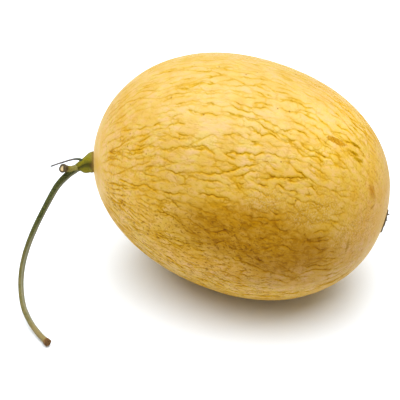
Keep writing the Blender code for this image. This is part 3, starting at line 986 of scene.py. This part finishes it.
def finish_material(nodes, shader, colour, roughness, height, distance=STEM_BUMP, strength=0.6):
    """Feeds a colour and a height to the shader; the bump's distance is the height's unit."""
    nodes.feed(shader.inputs["Base Color"], colour)
    shader.inputs["Roughness"].default_value = roughness
    bump = nodes.add("ShaderNodeBump")
    bump.inputs["Strength"].default_value = strength
    bump.inputs["Distance"].default_value = distance
    nodes.feed(bump.inputs["Height"], height)
    nodes.feed(shader.inputs["Normal"], bump.outputs["Normal"])


def attribute(nodes, name):
    """The three numbers kept at each point under a name."""
    kept = nodes.add("ShaderNodeAttribute", attribute_name=name).outputs["Vector"]
    split = nodes.add("ShaderNodeSeparateXYZ")
    nodes.feed(split.inputs[0], kept)
    return kept, split.outputs


def mark(nodes, place, ragged, values, soft):
    """A small long blotch with a ragged edge: 1 in its middle, 0 outside."""
    middle, along, half_length, half_width = values
    outward = Vector(middle) - FRUIT_MIDDLE
    outward.x *= (FRUIT_DIAMETER / FRUIT_LENGTH) ** 2
    outward.normalize()
    along = Vector(along)
    along = (along - along.dot(outward) * outward).normalized()
    across = outward.cross(along)
    node = nodes.add("ShaderNodeMapping", vector_type="TEXTURE")
    nodes.feed(node.inputs["Vector"], place)
    node.inputs["Location"].default_value = Vector(middle) * 1000.0
    node.inputs["Rotation"].default_value = Matrix((along, across, outward)).transposed().to_euler()
    node.inputs["Scale"].default_value = (half_length * 1000.0, half_width * 1000.0, MARK_REACH)
    away = nodes.vector("LENGTH", node.outputs["Vector"], (0.0, 0.0, 0.0))
    away = nodes.math("ADD", away, ragged)
    return nodes.spread(away, 1.0 - soft, 1.0 + soft, 1.0, 0.0)


def marks(nodes, place, ragged, places, soft=0.35):
    """The strongest of several marks."""
    found = mark(nodes, place, ragged, places[0], soft)
    for values in places[1:]:
        found = nodes.math("MAXIMUM", found, mark(nodes, place, ragged, values, soft))
    return found


def rind_fields(nodes):
    """What the rind's mesh keeps at each point, for its material."""
    rind = SimpleNamespace()
    rind.place, _ = attribute(nodes, "net")
    _, (rind.away, rind.strength, rind.netted) = attribute(nodes, "furrow")
    _, (rind.golden, rind.cork, rind.upper) = attribute(nodes, "zones")
    rind.part_place, _ = attribute(nodes, "place")
    _, (rind.lower, rind.far_end, rind.streaky) = attribute(nodes, "sides")
    rind.tint, _ = attribute(nodes, "tint")
    return rind


def add_furrows(nodes, rind):
    """The furrows' narrow bottoms, the darker bands over them, their golden sides and halos."""
    ragged = nodes.math("SUBTRACT", nodes.value_noise(rind.place, 1.5, 3.0, 0.6), 0.5)
    distance = nodes.plus(rind.away, nodes.times(ragged, 0.9))
    broken = nodes.spread(nodes.value_noise(rind.place, 3.6), 0.38, 0.58, 0.25, 1.0)
    rind.line = nodes.times(nodes.spread(distance, 0.05, 0.50, 1.0, 0.0), rind.strength, broken)
    rind.band = nodes.times(
        nodes.spread(distance, 0.20, 1.0, 1.0, 0.0), nodes.math("POWER", rind.strength, 0.6))
    rind.side = nodes.times(nodes.spread(distance, 0.2, 1.9, 0.8, 0.0), rind.strength)
    rind.halo = nodes.times(
        nodes.spread(distance, 0.3, 1.5, 0.8, 0.0), nodes.spread(rind.strength, 0.65, 1.10))


def add_details(nodes, rind):
    """Thin wrinkles, streaks, freckles, specks, corky grains and dark dots."""
    place = rind.place
    thin_place = nodes.drawn_out(nodes.sway(place, 3.4, 3.0, 2.0), 0.42)
    thin = nodes.spread(nodes.edge(thin_place, 3.4), 0.04, 0.42, 1.0, 0.0)
    thin_patch = nodes.value_noise(nodes.vector("ADD", place, (60.0, 9.0, 0.0)), 4.5)
    rind.thin = nodes.times(thin, nodes.spread(thin_patch, 0.42, 0.60), rind.netted)
    streak_place = nodes.drawn_out(nodes.sway(place, 5.0, 5.0, 2.0), 0.28)
    streak = nodes.spread(nodes.value_noise(streak_place, 1.15, 1.5), 0.56, 0.66)
    rind.streak = nodes.times(streak, rind.netted)
    freckle = nodes.value_noise(nodes.drawn_out(place, 0.6), 2.0)
    rind.freckle = nodes.times(nodes.spread(freckle, 0.58, 0.68), rind.far_end)
    rind.specks = nodes.value_noise(nodes.vector("ADD", place, (5.0, 70.0, 0.0)), 0.85)
    rind.grains = nodes.value_noise(nodes.vector("ADD", place, (31.0, 4.0, 17.0)), 1.0, 3.0, 0.7)
    rind.grain = nodes.times(nodes.spread(rind.grains, 0.52, 0.60), rind.cork)
    rind.chink = nodes.times(nodes.spread(rind.grains, 0.45, 0.38), rind.cork)
    dots = nodes.add("ShaderNodeTexVoronoi", feature="F1")
    nodes.feed(dots.inputs["Vector"], place)
    nodes.feed(dots.inputs["Scale"], 1.0 / DOT_SPACING)
    picked = nodes.add("ShaderNodeSeparateColor")
    nodes.feed(picked.inputs[0], dots.outputs["Color"])
    dot = nodes.spread(dots.outputs["Distance"], 0.05, 0.11, 1.0, 0.0)
    rind.dot = nodes.times(dot, nodes.spread(picked.outputs[0], 0.60, 0.70))


def add_marks(nodes, rind):
    """The few larger marks, with frayed edges."""
    frayed = nodes.times(nodes.math("SUBTRACT", rind.grains, 0.5), 1.6)
    rind.brown = marks(nodes, rind.part_place, frayed, BROWN_MARKS, 0.15)
    rind.olive = marks(nodes, rind.part_place, frayed, OLIVE_MARKS)
    rind.stroke = marks(nodes, rind.part_place, frayed, STROKE_MARKS)
    rind.orange = marks(nodes, rind.part_place, frayed, ORANGE_MARKS, 0.6)


def rind_ground(nodes, rind):
    """The plates' colour: cream and golden in patches, paler on top, tan low down and deep golden in its
    zones; the paler top is painted light, the tan and deep golden are partly painted shade, and the tints
    add more painted light and shade.
    """
    patches = nodes.value_noise(rind.place, 12.0, 2.5)
    mottle = nodes.value_noise(nodes.drawn_out(rind.place, 0.5), 3.2, 3.0, 0.6)
    cream = nodes.grade(mottle, 0.35, 0.65, CREAM, WARM_CREAM)
    golden = nodes.grade(patches, 0.4, 0.62, GOLDEN, DARK_GOLDEN)
    share = nodes.math("ADD", rind.side, nodes.spread(patches, 0.40, 0.64, 0.05, 0.60), clamp=True)
    colour = nodes.blend(share, cream, golden)
    # painted light: the top is blended towards a paler cream, as the overhead light's sheen washes it out
    colour = nodes.blend(nodes.times(rind.upper, 0.35), colour, UPPER_CREAM_AND_PAINTED_SHEEN)
    # painted shade, partly the rind's tan: low down the colour turns darker tan, least at the bottom rim and
    # at both ends
    low = nodes.times(rind.lower, nodes.spread(mottle, 0.35, 0.62, 0.80, 0.58))
    colour = nodes.blend(low, colour, LOWER_TAN_AND_SHADE)
    # painted shade, partly the rind's own golden: the golden zones turn deep golden
    deep = nodes.times(rind.golden, nodes.spread(mottle, 0.35, 0.62, 1.0, 0.75))
    colour = nodes.blend(deep, colour, DEEP_GOLDEN_AND_SHADE)
    blotch_place = nodes.drawn_out(nodes.sway(rind.place, 4.0, 5.0), 0.55)
    blotch = nodes.spread(nodes.value_noise(blotch_place, 3.4), 0.52, 0.60)
    colour = nodes.stain(nodes.times(blotch, rind.golden, 0.8), colour, BLOTCH_STAIN)
    # the tints multiply in painted shade and painted light along with the rind's own tints
    return nodes.vector("MULTIPLY", colour, rind.tint)


def rind_colour(nodes, rind):
    """The plates' colour with the net, the details and the marks over it."""
    colour = rind_ground(nodes, rind)
    # painted light: the net, its wrinkles and streaks are fainter on top, as the overhead light washes them
    # out; specks are also calmer low down
    faint = nodes.math("SUBTRACT", 1.0, nodes.times(rind.upper, 0.5))
    fade = nodes.math("SUBTRACT", 1.0, nodes.times(rind.upper, 0.65))
    calm = nodes.math("SUBTRACT", fade, nodes.times(rind.lower, 0.4))
    streaked = nodes.spread(rind.streaky, 0.0, 1.0, 0.26, 0.88)
    for share, factors in (
        (nodes.times(nodes.spread(rind.specks, 0.56, 0.66, 0.0, 0.22), calm), PALE_SPECK_STAIN),
        (nodes.times(nodes.spread(rind.specks, 0.44, 0.36, 0.0, 0.25), calm), DARK_SPECK_STAIN),
        (nodes.times(rind.freckle, 0.6), FRECKLE_STAIN),
        (nodes.times(rind.thin, 0.55, fade), WRINKLE_STAIN),
        (nodes.times(rind.streak, streaked, fade), STREAK_STAIN),
        (nodes.times(rind.band, 0.75, faint), BAND_STAIN),
        (nodes.times(rind.line, faint), LINE_STAIN),
        (rind.halo, HALO_STAIN),
    ):
        colour = nodes.stain(share, colour, factors)
    colour = nodes.blend(nodes.times(rind.chink, 0.5), colour, CHINK_BROWN)
    colour = nodes.blend(nodes.times(rind.grain, 0.32), colour, CORK_PALE)
    colour = nodes.blend(nodes.times(rind.dot, 0.75), colour, DOT_BROWN)
    colour = nodes.stain(rind.brown, colour, BROWN_MARK_STAIN)
    scab = nodes.times(rind.brown, nodes.spread(rind.specks, 0.40, 0.60, 0.20, 0.95))
    colour = nodes.blend(scab, colour, SCAB_BROWN)
    colour = nodes.stain(rind.olive, colour, OLIVE_MARK_STAIN)
    colour = nodes.stain(nodes.times(rind.stroke, 0.8), colour, STROKE_MARK_STAIN)
    return nodes.stain(rind.orange, colour, ORANGE_MARK_STAIN)


def rind_height(nodes, rind):
    """The relief that the mesh is too coarse for, as shares of its bump's height."""
    fine = nodes.value_noise(rind.place, 0.6, 3.0, 0.6)
    wrinkle_place = nodes.drawn_out(nodes.sway(rind.place, 5.0, 4.0), 0.4)
    wrinkle = nodes.value_noise(wrinkle_place, 1.9, 3.0, 0.6)
    height = nodes.times(rind.line, -1.0)
    for found, share in ((wrinkle, 1.6), (rind.thin, -0.45), (rind.streak, -0.25),
                         (fine, 0.3), (rind.grain, 0.6), (rind.brown, -1.5)):
        height = nodes.plus(height, nodes.times(found, share))
    return height


def rind_material():
    material, nodes, shader = new_material("rind")
    rind = rind_fields(nodes)
    add_furrows(nodes, rind)
    add_details(nodes, rind)
    add_marks(nodes, rind)
    dull = nodes.most(rind.lower, rind.brown, rind.olive, rind.band)
    nodes.feed(shader.inputs["Specular IOR Level"], nodes.spread(dull, 0.0, 1.0, 0.22, 0.05))
    height = rind_height(nodes, rind)
    finish_material(nodes, shader, rind_colour(nodes, rind), 0.5, height, RIND_BUMP, 0.55)
    return material


def smooth_line(knots, steps):
    """Rows of numbers on a smooth curve through the given rows."""
    knots = np.array(knots, float)
    padded = np.vstack((2 * knots[0] - knots[1], knots, 2 * knots[-1] - knots[-2]))
    rows = []
    for before, start, end, after in zip(padded, padded[1:], padded[2:], padded[3:]):
        for step in range(steps):
            t = step / steps
            rows.append(0.5 * (2 * start + (end - before) * t
                               + (2 * before - 5 * start + 4 * end - after) * t ** 2
                               + (3 * start - before - 3 * end + after) * t ** 3))
    rows.append(knots[-1])
    return np.array(rows).tolist()


def travel_frames(line, upward):
    """At each point of a line the way ahead and two directions across it, which don't twist."""
    frames = []
    side = Vector(upward)
    for place in range(len(line)):
        before = Vector(line[max(0, place - 1)][:3])
        after = Vector(line[min(len(line) - 1, place + 1)][:3])
        ahead = (after - before).normalized()
        across = ahead.cross(side).normalized()
        side = across.cross(ahead).normalized()
        frames.append((ahead, across, side.copy()))
    return frames


def moved_route(route, placement):
    """A route's knots with their thickness shares, moved to the part's axes."""
    aside, back = placement[1][:2]
    return np.array([(x + aside, y + back, z, share) for (x, y, z), share in route])


def turns_round(sides):
    return [2.0 * math.pi * side / sides for side in range(sides)]


def round_way(turn, across, side):
    return math.cos(turn) * across + math.sin(turn) * side


def grain_place(along, radius, turn):
    """A place in a growth's own grain: along it and across it, in mm."""
    return along, radius * 1000.0 * math.cos(turn), radius * 1000.0 * math.sin(turn)


class Growth:
    """Equal rings of points along a growth, with what its material reads at each point."""

    def __init__(self):
        self.rings, self.grains, self.cuts = [], [], []

    def add(self, ring, grain, cut):
        self.rings.append(ring)
        self.grains.append(grain)
        self.cuts.append(cut if isinstance(cut, list) else [cut] * len(ring))

    def mesh(self, name, tip):
        """A mesh of the rings, closed to a point at its far end."""
        sides = len(self.rings[0])
        last = (len(self.rings) - 1) * sides
        points = [tuple(point) for ring in self.rings for point in ring]
        faces = []
        for low in range(0, last, sides):
            high = low + sides
            for place in range(sides):
                after = (place + 1) % sides
                faces.append((low + place, high + place, high + after, low + after))
        for place in range(sides):
            faces.append((len(points), last + (place + 1) % sides, last + place))
        mesh = make_mesh(name, points + [tuple(tip)], faces)
        for kept, rings in (("grain", self.grains), ("cut", self.cuts)):
            store_vectors(mesh, kept, [row for ring in rings for row in ring] + [rings[-1][0]])
        return mesh


def dress_stem(name, mesh, material):
    piece = add_piece(name, mesh, material)
    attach(piece, "root")
    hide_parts("stem")
    return piece


def round_noise(point, size):
    return noise.noise(Vector(point) / size)


def over_swelling(middle, point, shift):
    """A point of the foot, pushed out to the round swelling where that lies further out."""
    outward = (point - middle).normalized()
    centre = Vector(SWELLING_MIDDLE) + Vector((shift.x, shift.y, 0.0))
    ray, start = [
        (line + (1.0 / SWELLING_STRETCH - 1.0) * line.dot(SWELLING_ALONG) * SWELLING_ALONG) / SWELLING_RADIUS
        for line in (outward, middle - centre)
    ]
    square = ray.dot(start) ** 2 - ray.dot(ray) * (start.dot(start) - 1.0)
    if square <= 0.0:
        return point
    reach = max(0.0, (math.sqrt(square) - ray.dot(start)) / ray.dot(ray))
    size = (point - middle).length
    return middle + outward * (size ** 6 + reach ** 6) ** (1.0 / 6.0)


def vine_line(root, normal, knots):
    """Rows along the foot and the vine: place, radius, height of the ribs, and the way along."""
    knee = root + FOOT_REACH * normal
    top = Vector(knots[0][:3])
    rows = []
    for way, share, ridge in FOOT_PROFILE:
        middle = root.lerp(knee, way).lerp(knee.lerp(top, way), way)
        rows.append((*middle, share * FOOT_RADIUS, ridge, way))
    rows.extend((x, y, z, share * VINE_RADIUS, VINE_RIDGES, VINE_WAY) for x, y, z, share in knots)
    return smooth_line(rows, LINE_STEPS)


def make_vine(material, placement):
    """The ridged foot on the rind and the vine, as one growth with its torn cut end."""
    turned, shift = Matrix(placement[0]), Vector(placement[1])
    skin = tangent_frame(STEM_END)
    root = turned @ skin[0] + shift
    line = vine_line(root, turned @ skin[1], moved_route(VINE_ROUTE, placement))
    frames = travel_frames(line, turned @ skin[3])
    turns = turns_round(VINE_SIDES)
    rim = [turned @ over_skin(skin, turn, FOOT_RADIUS * 1.02, -FOOT_SUNK) + shift for turn in turns]
    growth = Growth()
    before, last = Vector(line[0][:3]), Vector(line[-1][:3])
    walked = 0.0
    for row, (ahead, across, side) in zip(line, frames):
        middle = Vector(row[:3])
        radius, ridge, way = row[3:]
        walked += (middle - before).length
        before = middle
        settled = rise(0.0, FOOT_SETTLED, way)
        hollow = FOOT_HOLLOW * float(smoothstep(0.05, 0.42, way) * (1.0 - smoothstep(0.48, 0.80, way)))
        crease = float(smoothstep(0.0, 0.15, way) * (1.0 - smoothstep(0.6, 1.3, way)))
        end = 1.0 - rise(0.0, 0.004, (last - middle).length)
        # painted highlight: the side that faces the fruit gets a negative shade, which the material paints
        # paler; the band widens further down the vine
        lit = (FRUIT_SIDE - ahead * ahead.dot(FRUIT_SIDE)).normalized()
        least = 0.60 - 0.38 * rise(0.045, 0.075, walked)
        ring, cuts = [], []
        for place, turn in enumerate(turns):
            off_crease = wrapped(turn - FOOT_CREASE_TURN)
            bulge = -FOOT_CREASE * crease * math.exp(-(off_crease / FOOT_CREASE_WIDTH) ** 2)
            bulge -= hollow * max(0.0, math.cos(turn - FOOT_HOLLOW_TURN)) ** 2
            rib_turn = FOOT_RIDGES * (turn - FOOT_RIDGE_TURN) + 10.0 * max(0.0, walked - 0.012)
            fibres = 0.012 * math.sin(17.0 * turn + 30.0 * walked) + 0.010 * math.sin(29.0 * turn)
            outward = round_way(turn, across, side)
            even = middle + radius * outward
            rough = 0.035 * round_noise(even, 0.0035) + 0.10 * end * round_noise(even, 0.0012)
            size = radius * (1.0 + bulge) * (0.97 + ridge * math.cos(rib_turn) + fibres + rough)
            point = middle + size * outward
            if settled < 1.0:
                point = (rim[place] + middle - root).lerp(point, settled)
            shade = -rise(least, least + 0.35, outward.dot(lit))
            if way < FOOT_END:
                point = over_swelling(middle, point, shift)
                # painted shade along the foot's crease
                shade = min(1.0, 1.3 * crease * math.exp(-(off_crease / FOOT_CREASE_SHADE_WIDTH) ** 2))
            ring.append(point)
            cuts.append((end, shade, walked * 1000.0))
        growth.add(ring, [grain_place(walked * 1000.0, radius, turn) for turn in turns], cuts)
    ahead = frames[-1][0]
    edge, grain = growth.rings[-1], growth.grains[-1]
    for share, height in TORN_END:
        ring = []
        for point in edge:
            level = last + share * (point - last)
            ring.append(level + ahead * (height + 0.0005 * round_noise(level, 0.0010)))
        shrunk = [(along, share * x, share * y) for along, x, y in grain]
        growth.add(ring, shrunk, (1.0, share, walked * 1000.0))
    return dress_stem("vine", growth.mesh("vine", last + ahead * 0.0002), material)


def add_stub_ring(growth, middle, radius, frame, cut, heart):
    _, across, side = frame
    ring, cuts = [], []
    turns = turns_round(STUB_SIDES)
    for turn in turns:
        outward = round_way(turn, across, 1.12 * side)
        size = radius * (1.0 + 0.10 * round_noise(middle + radius * outward, 0.0022))
        ring.append(middle + size * outward)
        aside = radius * math.cos(turn) * across.dot(ASIDE) + radius * math.sin(turn) * side.dot(ASIDE)
        cuts.append((cut, heart * (1.0 - rise(-0.0002, 0.0007, aside)), 0.0))
    along = 0.4 * (len(growth.rings) + 1)
    growth.add(ring, [grain_place(along, radius, turn) for turn in turns], cuts)


def make_stub(material, placement):
    """The short cut side shoot with its dark rim and pale heart."""
    line = smooth_line(moved_route(STUB_ROUTE, placement), LINE_STEPS)
    frames = travel_frames(line, (0.0, 0.0, 1.0))
    growth = Growth()
    for number, (row, frame) in enumerate(zip(line, frames)):
        near_cut = rise(0.45, 0.95, number / (len(line) - 1))
        add_stub_ring(growth, Vector(row[:3]), row[3] * STUB_RADIUS, frame, 0.75 * near_cut, 0.0)
    ahead = frames[-1][0]
    middle = Vector(line[-1][:3])
    for radius, height, heart in STUB_END:
        add_stub_ring(growth, middle + ahead * height, radius, frames[-1], 1.0, heart)
    return dress_stem("stub", growth.mesh("stub", middle + ahead * 0.0003), material)


def make_tendril(material, placement):
    line = smooth_line(moved_route(TENDRIL_ROUTE, placement), LINE_STEPS)
    turns = turns_round(12)
    growth = Growth()
    for number, (row, (_, across, side)) in enumerate(zip(line, travel_frames(line, (0.0, 0.0, 1.0)))):
        way = number / (len(line) - 1)
        radius = row[3] * TENDRIL_RADIUS * (1.0 - 0.35 * rise(0.93, 1.0, way))
        ring = [Vector(row[:3]) + radius * round_way(turn, across, side) for turn in turns]
        growth.add(ring, [grain_place(way * 20.0, 0.001, turn) for turn in turns], (way, 0.0, 0.0))
    return dress_stem("tendril", growth.mesh("tendril", line[-1][:3]), material)


def vine_material():
    """Yellow green at the foot, then dark green, then khaki, and brown at the torn end, with painted shade
    in the foot's crease and a painted highlight on the side that faces the fruit.
    """
    material, nodes, shader = new_material("vine")
    grain, _ = attribute(nodes, "grain")
    _, (cut, shade, walked) = attribute(nodes, "cut")
    fibres = nodes.value_noise(nodes.drawn_out(grain, 0.12), 0.55, 3.0, 0.6)
    blotches = nodes.value_noise(grain, 2.4, 3.0, 0.6)
    specks = nodes.value_noise(grain, 0.7, 2.0)
    foot = nodes.grade(fibres, 0.35, 0.65, (0.235, 0.195, 0.006), (0.150, 0.140, 0.003))
    dark = nodes.grade(specks, 0.44, 0.64, (0.026, 0.031, 0.005), (0.090, 0.096, 0.020))
    khaki = nodes.grade(blotches, 0.38, 0.6, (0.170, 0.140, 0.048), (0.115, 0.104, 0.030))
    tan = (0.27, 0.195, 0.075)
    colour = nodes.grade(walked, 7.5, 12.0, foot, dark)
    down = nodes.plus(walked, nodes.times(blotches, 14.0))
    colour = nodes.grade(down, 50.0, 98.0, colour, khaki)
    spots = nodes.times(nodes.spread(blotches, 0.60, 0.70), nodes.spread(walked, 60.0, 95.0))
    colour = nodes.blend(nodes.times(spots, 0.7), colour, tan)
    colour = nodes.blend(nodes.spread(walked, 118.0, 128.0, 0.0, 0.6), colour, tan)
    pale_fibres = nodes.times(nodes.spread(fibres, 0.55, 0.72), 0.25)
    colour = nodes.blend(pale_fibres, colour, (0.20, 0.21, 0.09))
    # painted highlight: paler on the side that faces the fruit
    pale = nodes.times(nodes.math("MULTIPLY", shade, -1.0, clamp=True), 0.55)
    colour = nodes.blend(pale, colour, (0.27, 0.265, 0.180))
    # painted shade in the foot's crease, reddish brown near the rind
    crease = nodes.times(nodes.most(shade, 0.0), 0.85)
    valley = nodes.grade(walked, 1.2, 3.2, (0.070, 0.030, 0.004), (0.040, 0.036, 0.002))
    colour = nodes.blend(crease, colour, valley)
    edge = nodes.spread(walked, 0.2, 1.8, 0.65, 0.0)
    colour = nodes.blend(edge, colour, (0.20, 0.11, 0.03))
    brown = nodes.grade(specks, 0.4, 0.65, (0.10, 0.043, 0.010), (0.22, 0.11, 0.032))
    colour = nodes.grade(cut, 0.35, 0.75, colour, brown)
    shader.inputs["Specular IOR Level"].default_value = 0.15
    height = nodes.plus(fibres, nodes.times(specks, 0.6))
    finish_material(nodes, shader, colour, 0.6, height)
    return material


def stub_material():
    """Green at its neck, with a dark rim and a pale heart."""
    material, nodes, shader = new_material("stub")
    grain, _ = attribute(nodes, "grain")
    _, (cut, heart, _) = attribute(nodes, "cut")
    fine = nodes.value_noise(grain, 0.5, 3.0, 0.6)
    neck = nodes.grade(fine, 0.35, 0.65, (0.24, 0.20, 0.025), (0.15, 0.13, 0.012))
    rim = nodes.grade(fine, 0.4, 0.6, (0.045, 0.026, 0.004), (0.10, 0.065, 0.016))
    pale = nodes.grade(fine, 0.4, 0.65, (0.62, 0.49, 0.28), (0.66, 0.45, 0.17))
    colour = nodes.grade(cut, 0.2, 0.7, neck, rim)
    colour = nodes.grade(heart, 0.3, 0.8, colour, pale)
    finish_material(nodes, shader, colour, 0.6, fine)
    return material


def tendril_material():
    """Green at its start, then dry and violet grey, and green again at its tip."""
    material, nodes, shader = new_material("tendril")
    grain, _ = attribute(nodes, "grain")
    _, (way, _, _) = attribute(nodes, "cut")
    fine = nodes.value_noise(grain, 0.8, 2.0)
    green = nodes.blend(fine, (0.030, 0.042, 0.014), (0.055, 0.070, 0.030))
    violet = nodes.blend(fine, (0.075, 0.060, 0.055), (0.14, 0.12, 0.115))
    colour = nodes.grade(way, 0.2, 0.5, green, violet)
    colour = nodes.blend(nodes.spread(way, 0.85, 1.0, 0.0, 0.6), colour, (0.05, 0.060, 0.035))
    finish_material(nodes, shader, colour, 0.6, fine, TENDRIL_BUMP)
    return material


def scar_ring(on_scar, turns, distance, height):
    """A ring on the scar, with its ragged edge and crumpled ribs."""
    ring = []
    for turn in turns:
        ragged = 1.0 + SCAR_RAGGED * math.sin(4.0 * turn + 0.7) * math.cos(7.0 * turn)
        ragged += 0.02 * math.sin(23.0 * turn) * distance / SCAR_RADIUS
        around = Vector((3.0 * math.cos(turn), 3.0 * math.sin(turn), distance * 600.0))
        crumpled = 0.00022 * noise.noise(around)
        fibres = 0.00010 * math.sin(24.0 * turn + 900.0 * distance)
        lift = height + (crumpled + fibres if height > 0.0 else 0.0)
        ring.append(on_scar(turn, distance * ragged, lift))
    return ring


def bristle_mesh(foot, tip):
    line = [foot.lerp(tip, step / 8) for step in range(9)]
    turns = turns_round(10)
    growth = Growth()
    for step, (point, (_, across, side)) in enumerate(zip(line, travel_frames(line, (0.0, 0.3, 1.0)))):
        radius = BRISTLE_RADIUS * (1.0 - 0.75 * step / 8) * (1.0 + 0.2 * math.sin(5.0 * step))
        ring = [point + radius * round_way(turn, across, side) for turn in turns]
        growth.add(ring, [grain_place(step * 0.3, 0.001, turn) for turn in turns], (1.0, 0.0, 0.0))
    return growth.mesh("bristle", tip)


def make_scar(material, placement):
    """The thin dry scar with its crumpled ribs and its two bristles."""
    turned, shift = Matrix(placement[0]), Vector(placement[1])
    skin = tangent_frame(SCAR_DISC)

    def on_scar(turn, distance, height):
        return turned @ over_skin(skin, turn, distance, height) + shift

    turns = turns_round(SCAR_SIDES)
    growth = Growth()
    for share, height in SCAR_PROFILE:
        distance = share * SCAR_RADIUS
        grain = [grain_place(distance * 1000.0, 0.006, turn) for turn in turns]
        growth.add(scar_ring(on_scar, turns, distance, height), grain, (share, 0.0, 0.0))
    mesh = growth.mesh("scar_disc", on_scar(0.0, 0.0, 0.0006))
    pieces = [add_piece("scar_disc", mesh, material)]
    for number, (degrees, distance, length) in enumerate(BRISTLES):
        turn = math.radians(degrees)
        foot = on_scar(turn, distance, 0.0003)
        tip = on_scar(turn, distance * 1.15, 0.0003 + length)
        pieces.append(add_piece("bristle_%d" % number, bristle_mesh(foot, tip), material))
    for piece in pieces:
        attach(piece, "root")
        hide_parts("blossom_scar")


def scar_material():
    material, nodes, shader = new_material("scar")
    grain, _ = attribute(nodes, "grain")
    fine = nodes.value_noise(nodes.drawn_out(grain, 0.3), 0.8, 3.0, 0.6)
    colour = nodes.grade(fine, 0.35, 0.65, (0.045, 0.026, 0.009), (0.145, 0.095, 0.042))
    shader.inputs["Specular IOR Level"].default_value = 0.1
    finish_material(nodes, shader, colour, 0.8, fine, SCAR_BUMP)
    return material


def make_stage():
    mesh = bpy.data.meshes.new("floor")
    corners = [(FLOOR_REACH * x, FLOOR_REACH * y, 0.0) for x, y in ((-1, -1), (1, -1), (1, 1), (-1, 1))]
    mesh.from_pydata(corners, [], [(0, 1, 2, 3)])
    material, _, shader = new_material("floor_white")
    shader.inputs["Base Color"].default_value = FLOOR_COLOUR
    shader.inputs["Roughness"].default_value = 0.8
    floor = add_piece("floor", mesh, material)
    floor.location.z = -FLOOR_DROP
    world = bpy.data.worlds.new("studio")
    world.use_nodes = True
    background = world.node_tree.nodes["Background"]
    background.inputs["Color"].default_value = WORLD_COLOUR
    background.inputs["Strength"].default_value = WORLD_STRENGTH
    bpy.context.scene.world = world


def make_softbox():
    light = bpy.data.lights.new("overhead", "AREA")
    light.shape = "RECTANGLE"
    light.size = LIGHT_WIDTH
    light.size_y = LIGHT_DEPTH
    light.energy = LIGHT_POWER
    light.color = LIGHT_COLOUR
    lamp = bpy.data.objects.new("overhead", light)
    lamp.location = LIGHT_PLACE
    ahead = Vector(LIGHT_TARGET) - Vector(LIGHT_PLACE)
    lamp.rotation_euler = ahead.to_track_quat("-Z", "Y").to_euler()
    bpy.context.scene.collection.objects.link(lamp)


def make_camera():
    right = Vector((math.cos(AZIMUTH), math.sin(AZIMUTH), 0.0))
    level = Vector((-math.sin(AZIMUTH), math.cos(AZIMUTH), 0.0))
    forward = math.cos(ELEVATION) * level - math.sin(ELEVATION) * Vector((0, 0, 1))
    aim = FRUIT_MIDDLE + AIM_ASIDE * right + AIM_ABOVE * Vector((0, 0, 1))
    data = bpy.data.cameras.new("camera")
    data.lens = LENS
    data.sensor_width = SENSOR_WIDTH
    camera = bpy.data.objects.new("camera", data)
    camera.location = aim - DISTANCE * forward
    camera.rotation_euler = forward.to_track_quat("-Z", "Y").to_euler()
    bpy.context.scene.collection.objects.link(camera)
    bpy.context.scene.camera = camera


make_camera()
make_stage()
make_softbox()
bpy.context.scene.view_settings.view_transform = "Standard"
PLACEMENT = fruit_placement()
make_fruit(rind_material(), PLACEMENT)
make_vine(vine_material(), PLACEMENT)
make_stub(stub_material(), PLACEMENT)
make_tendril(tendril_material(), PLACEMENT)
make_scar(scar_material(), PLACEMENT)
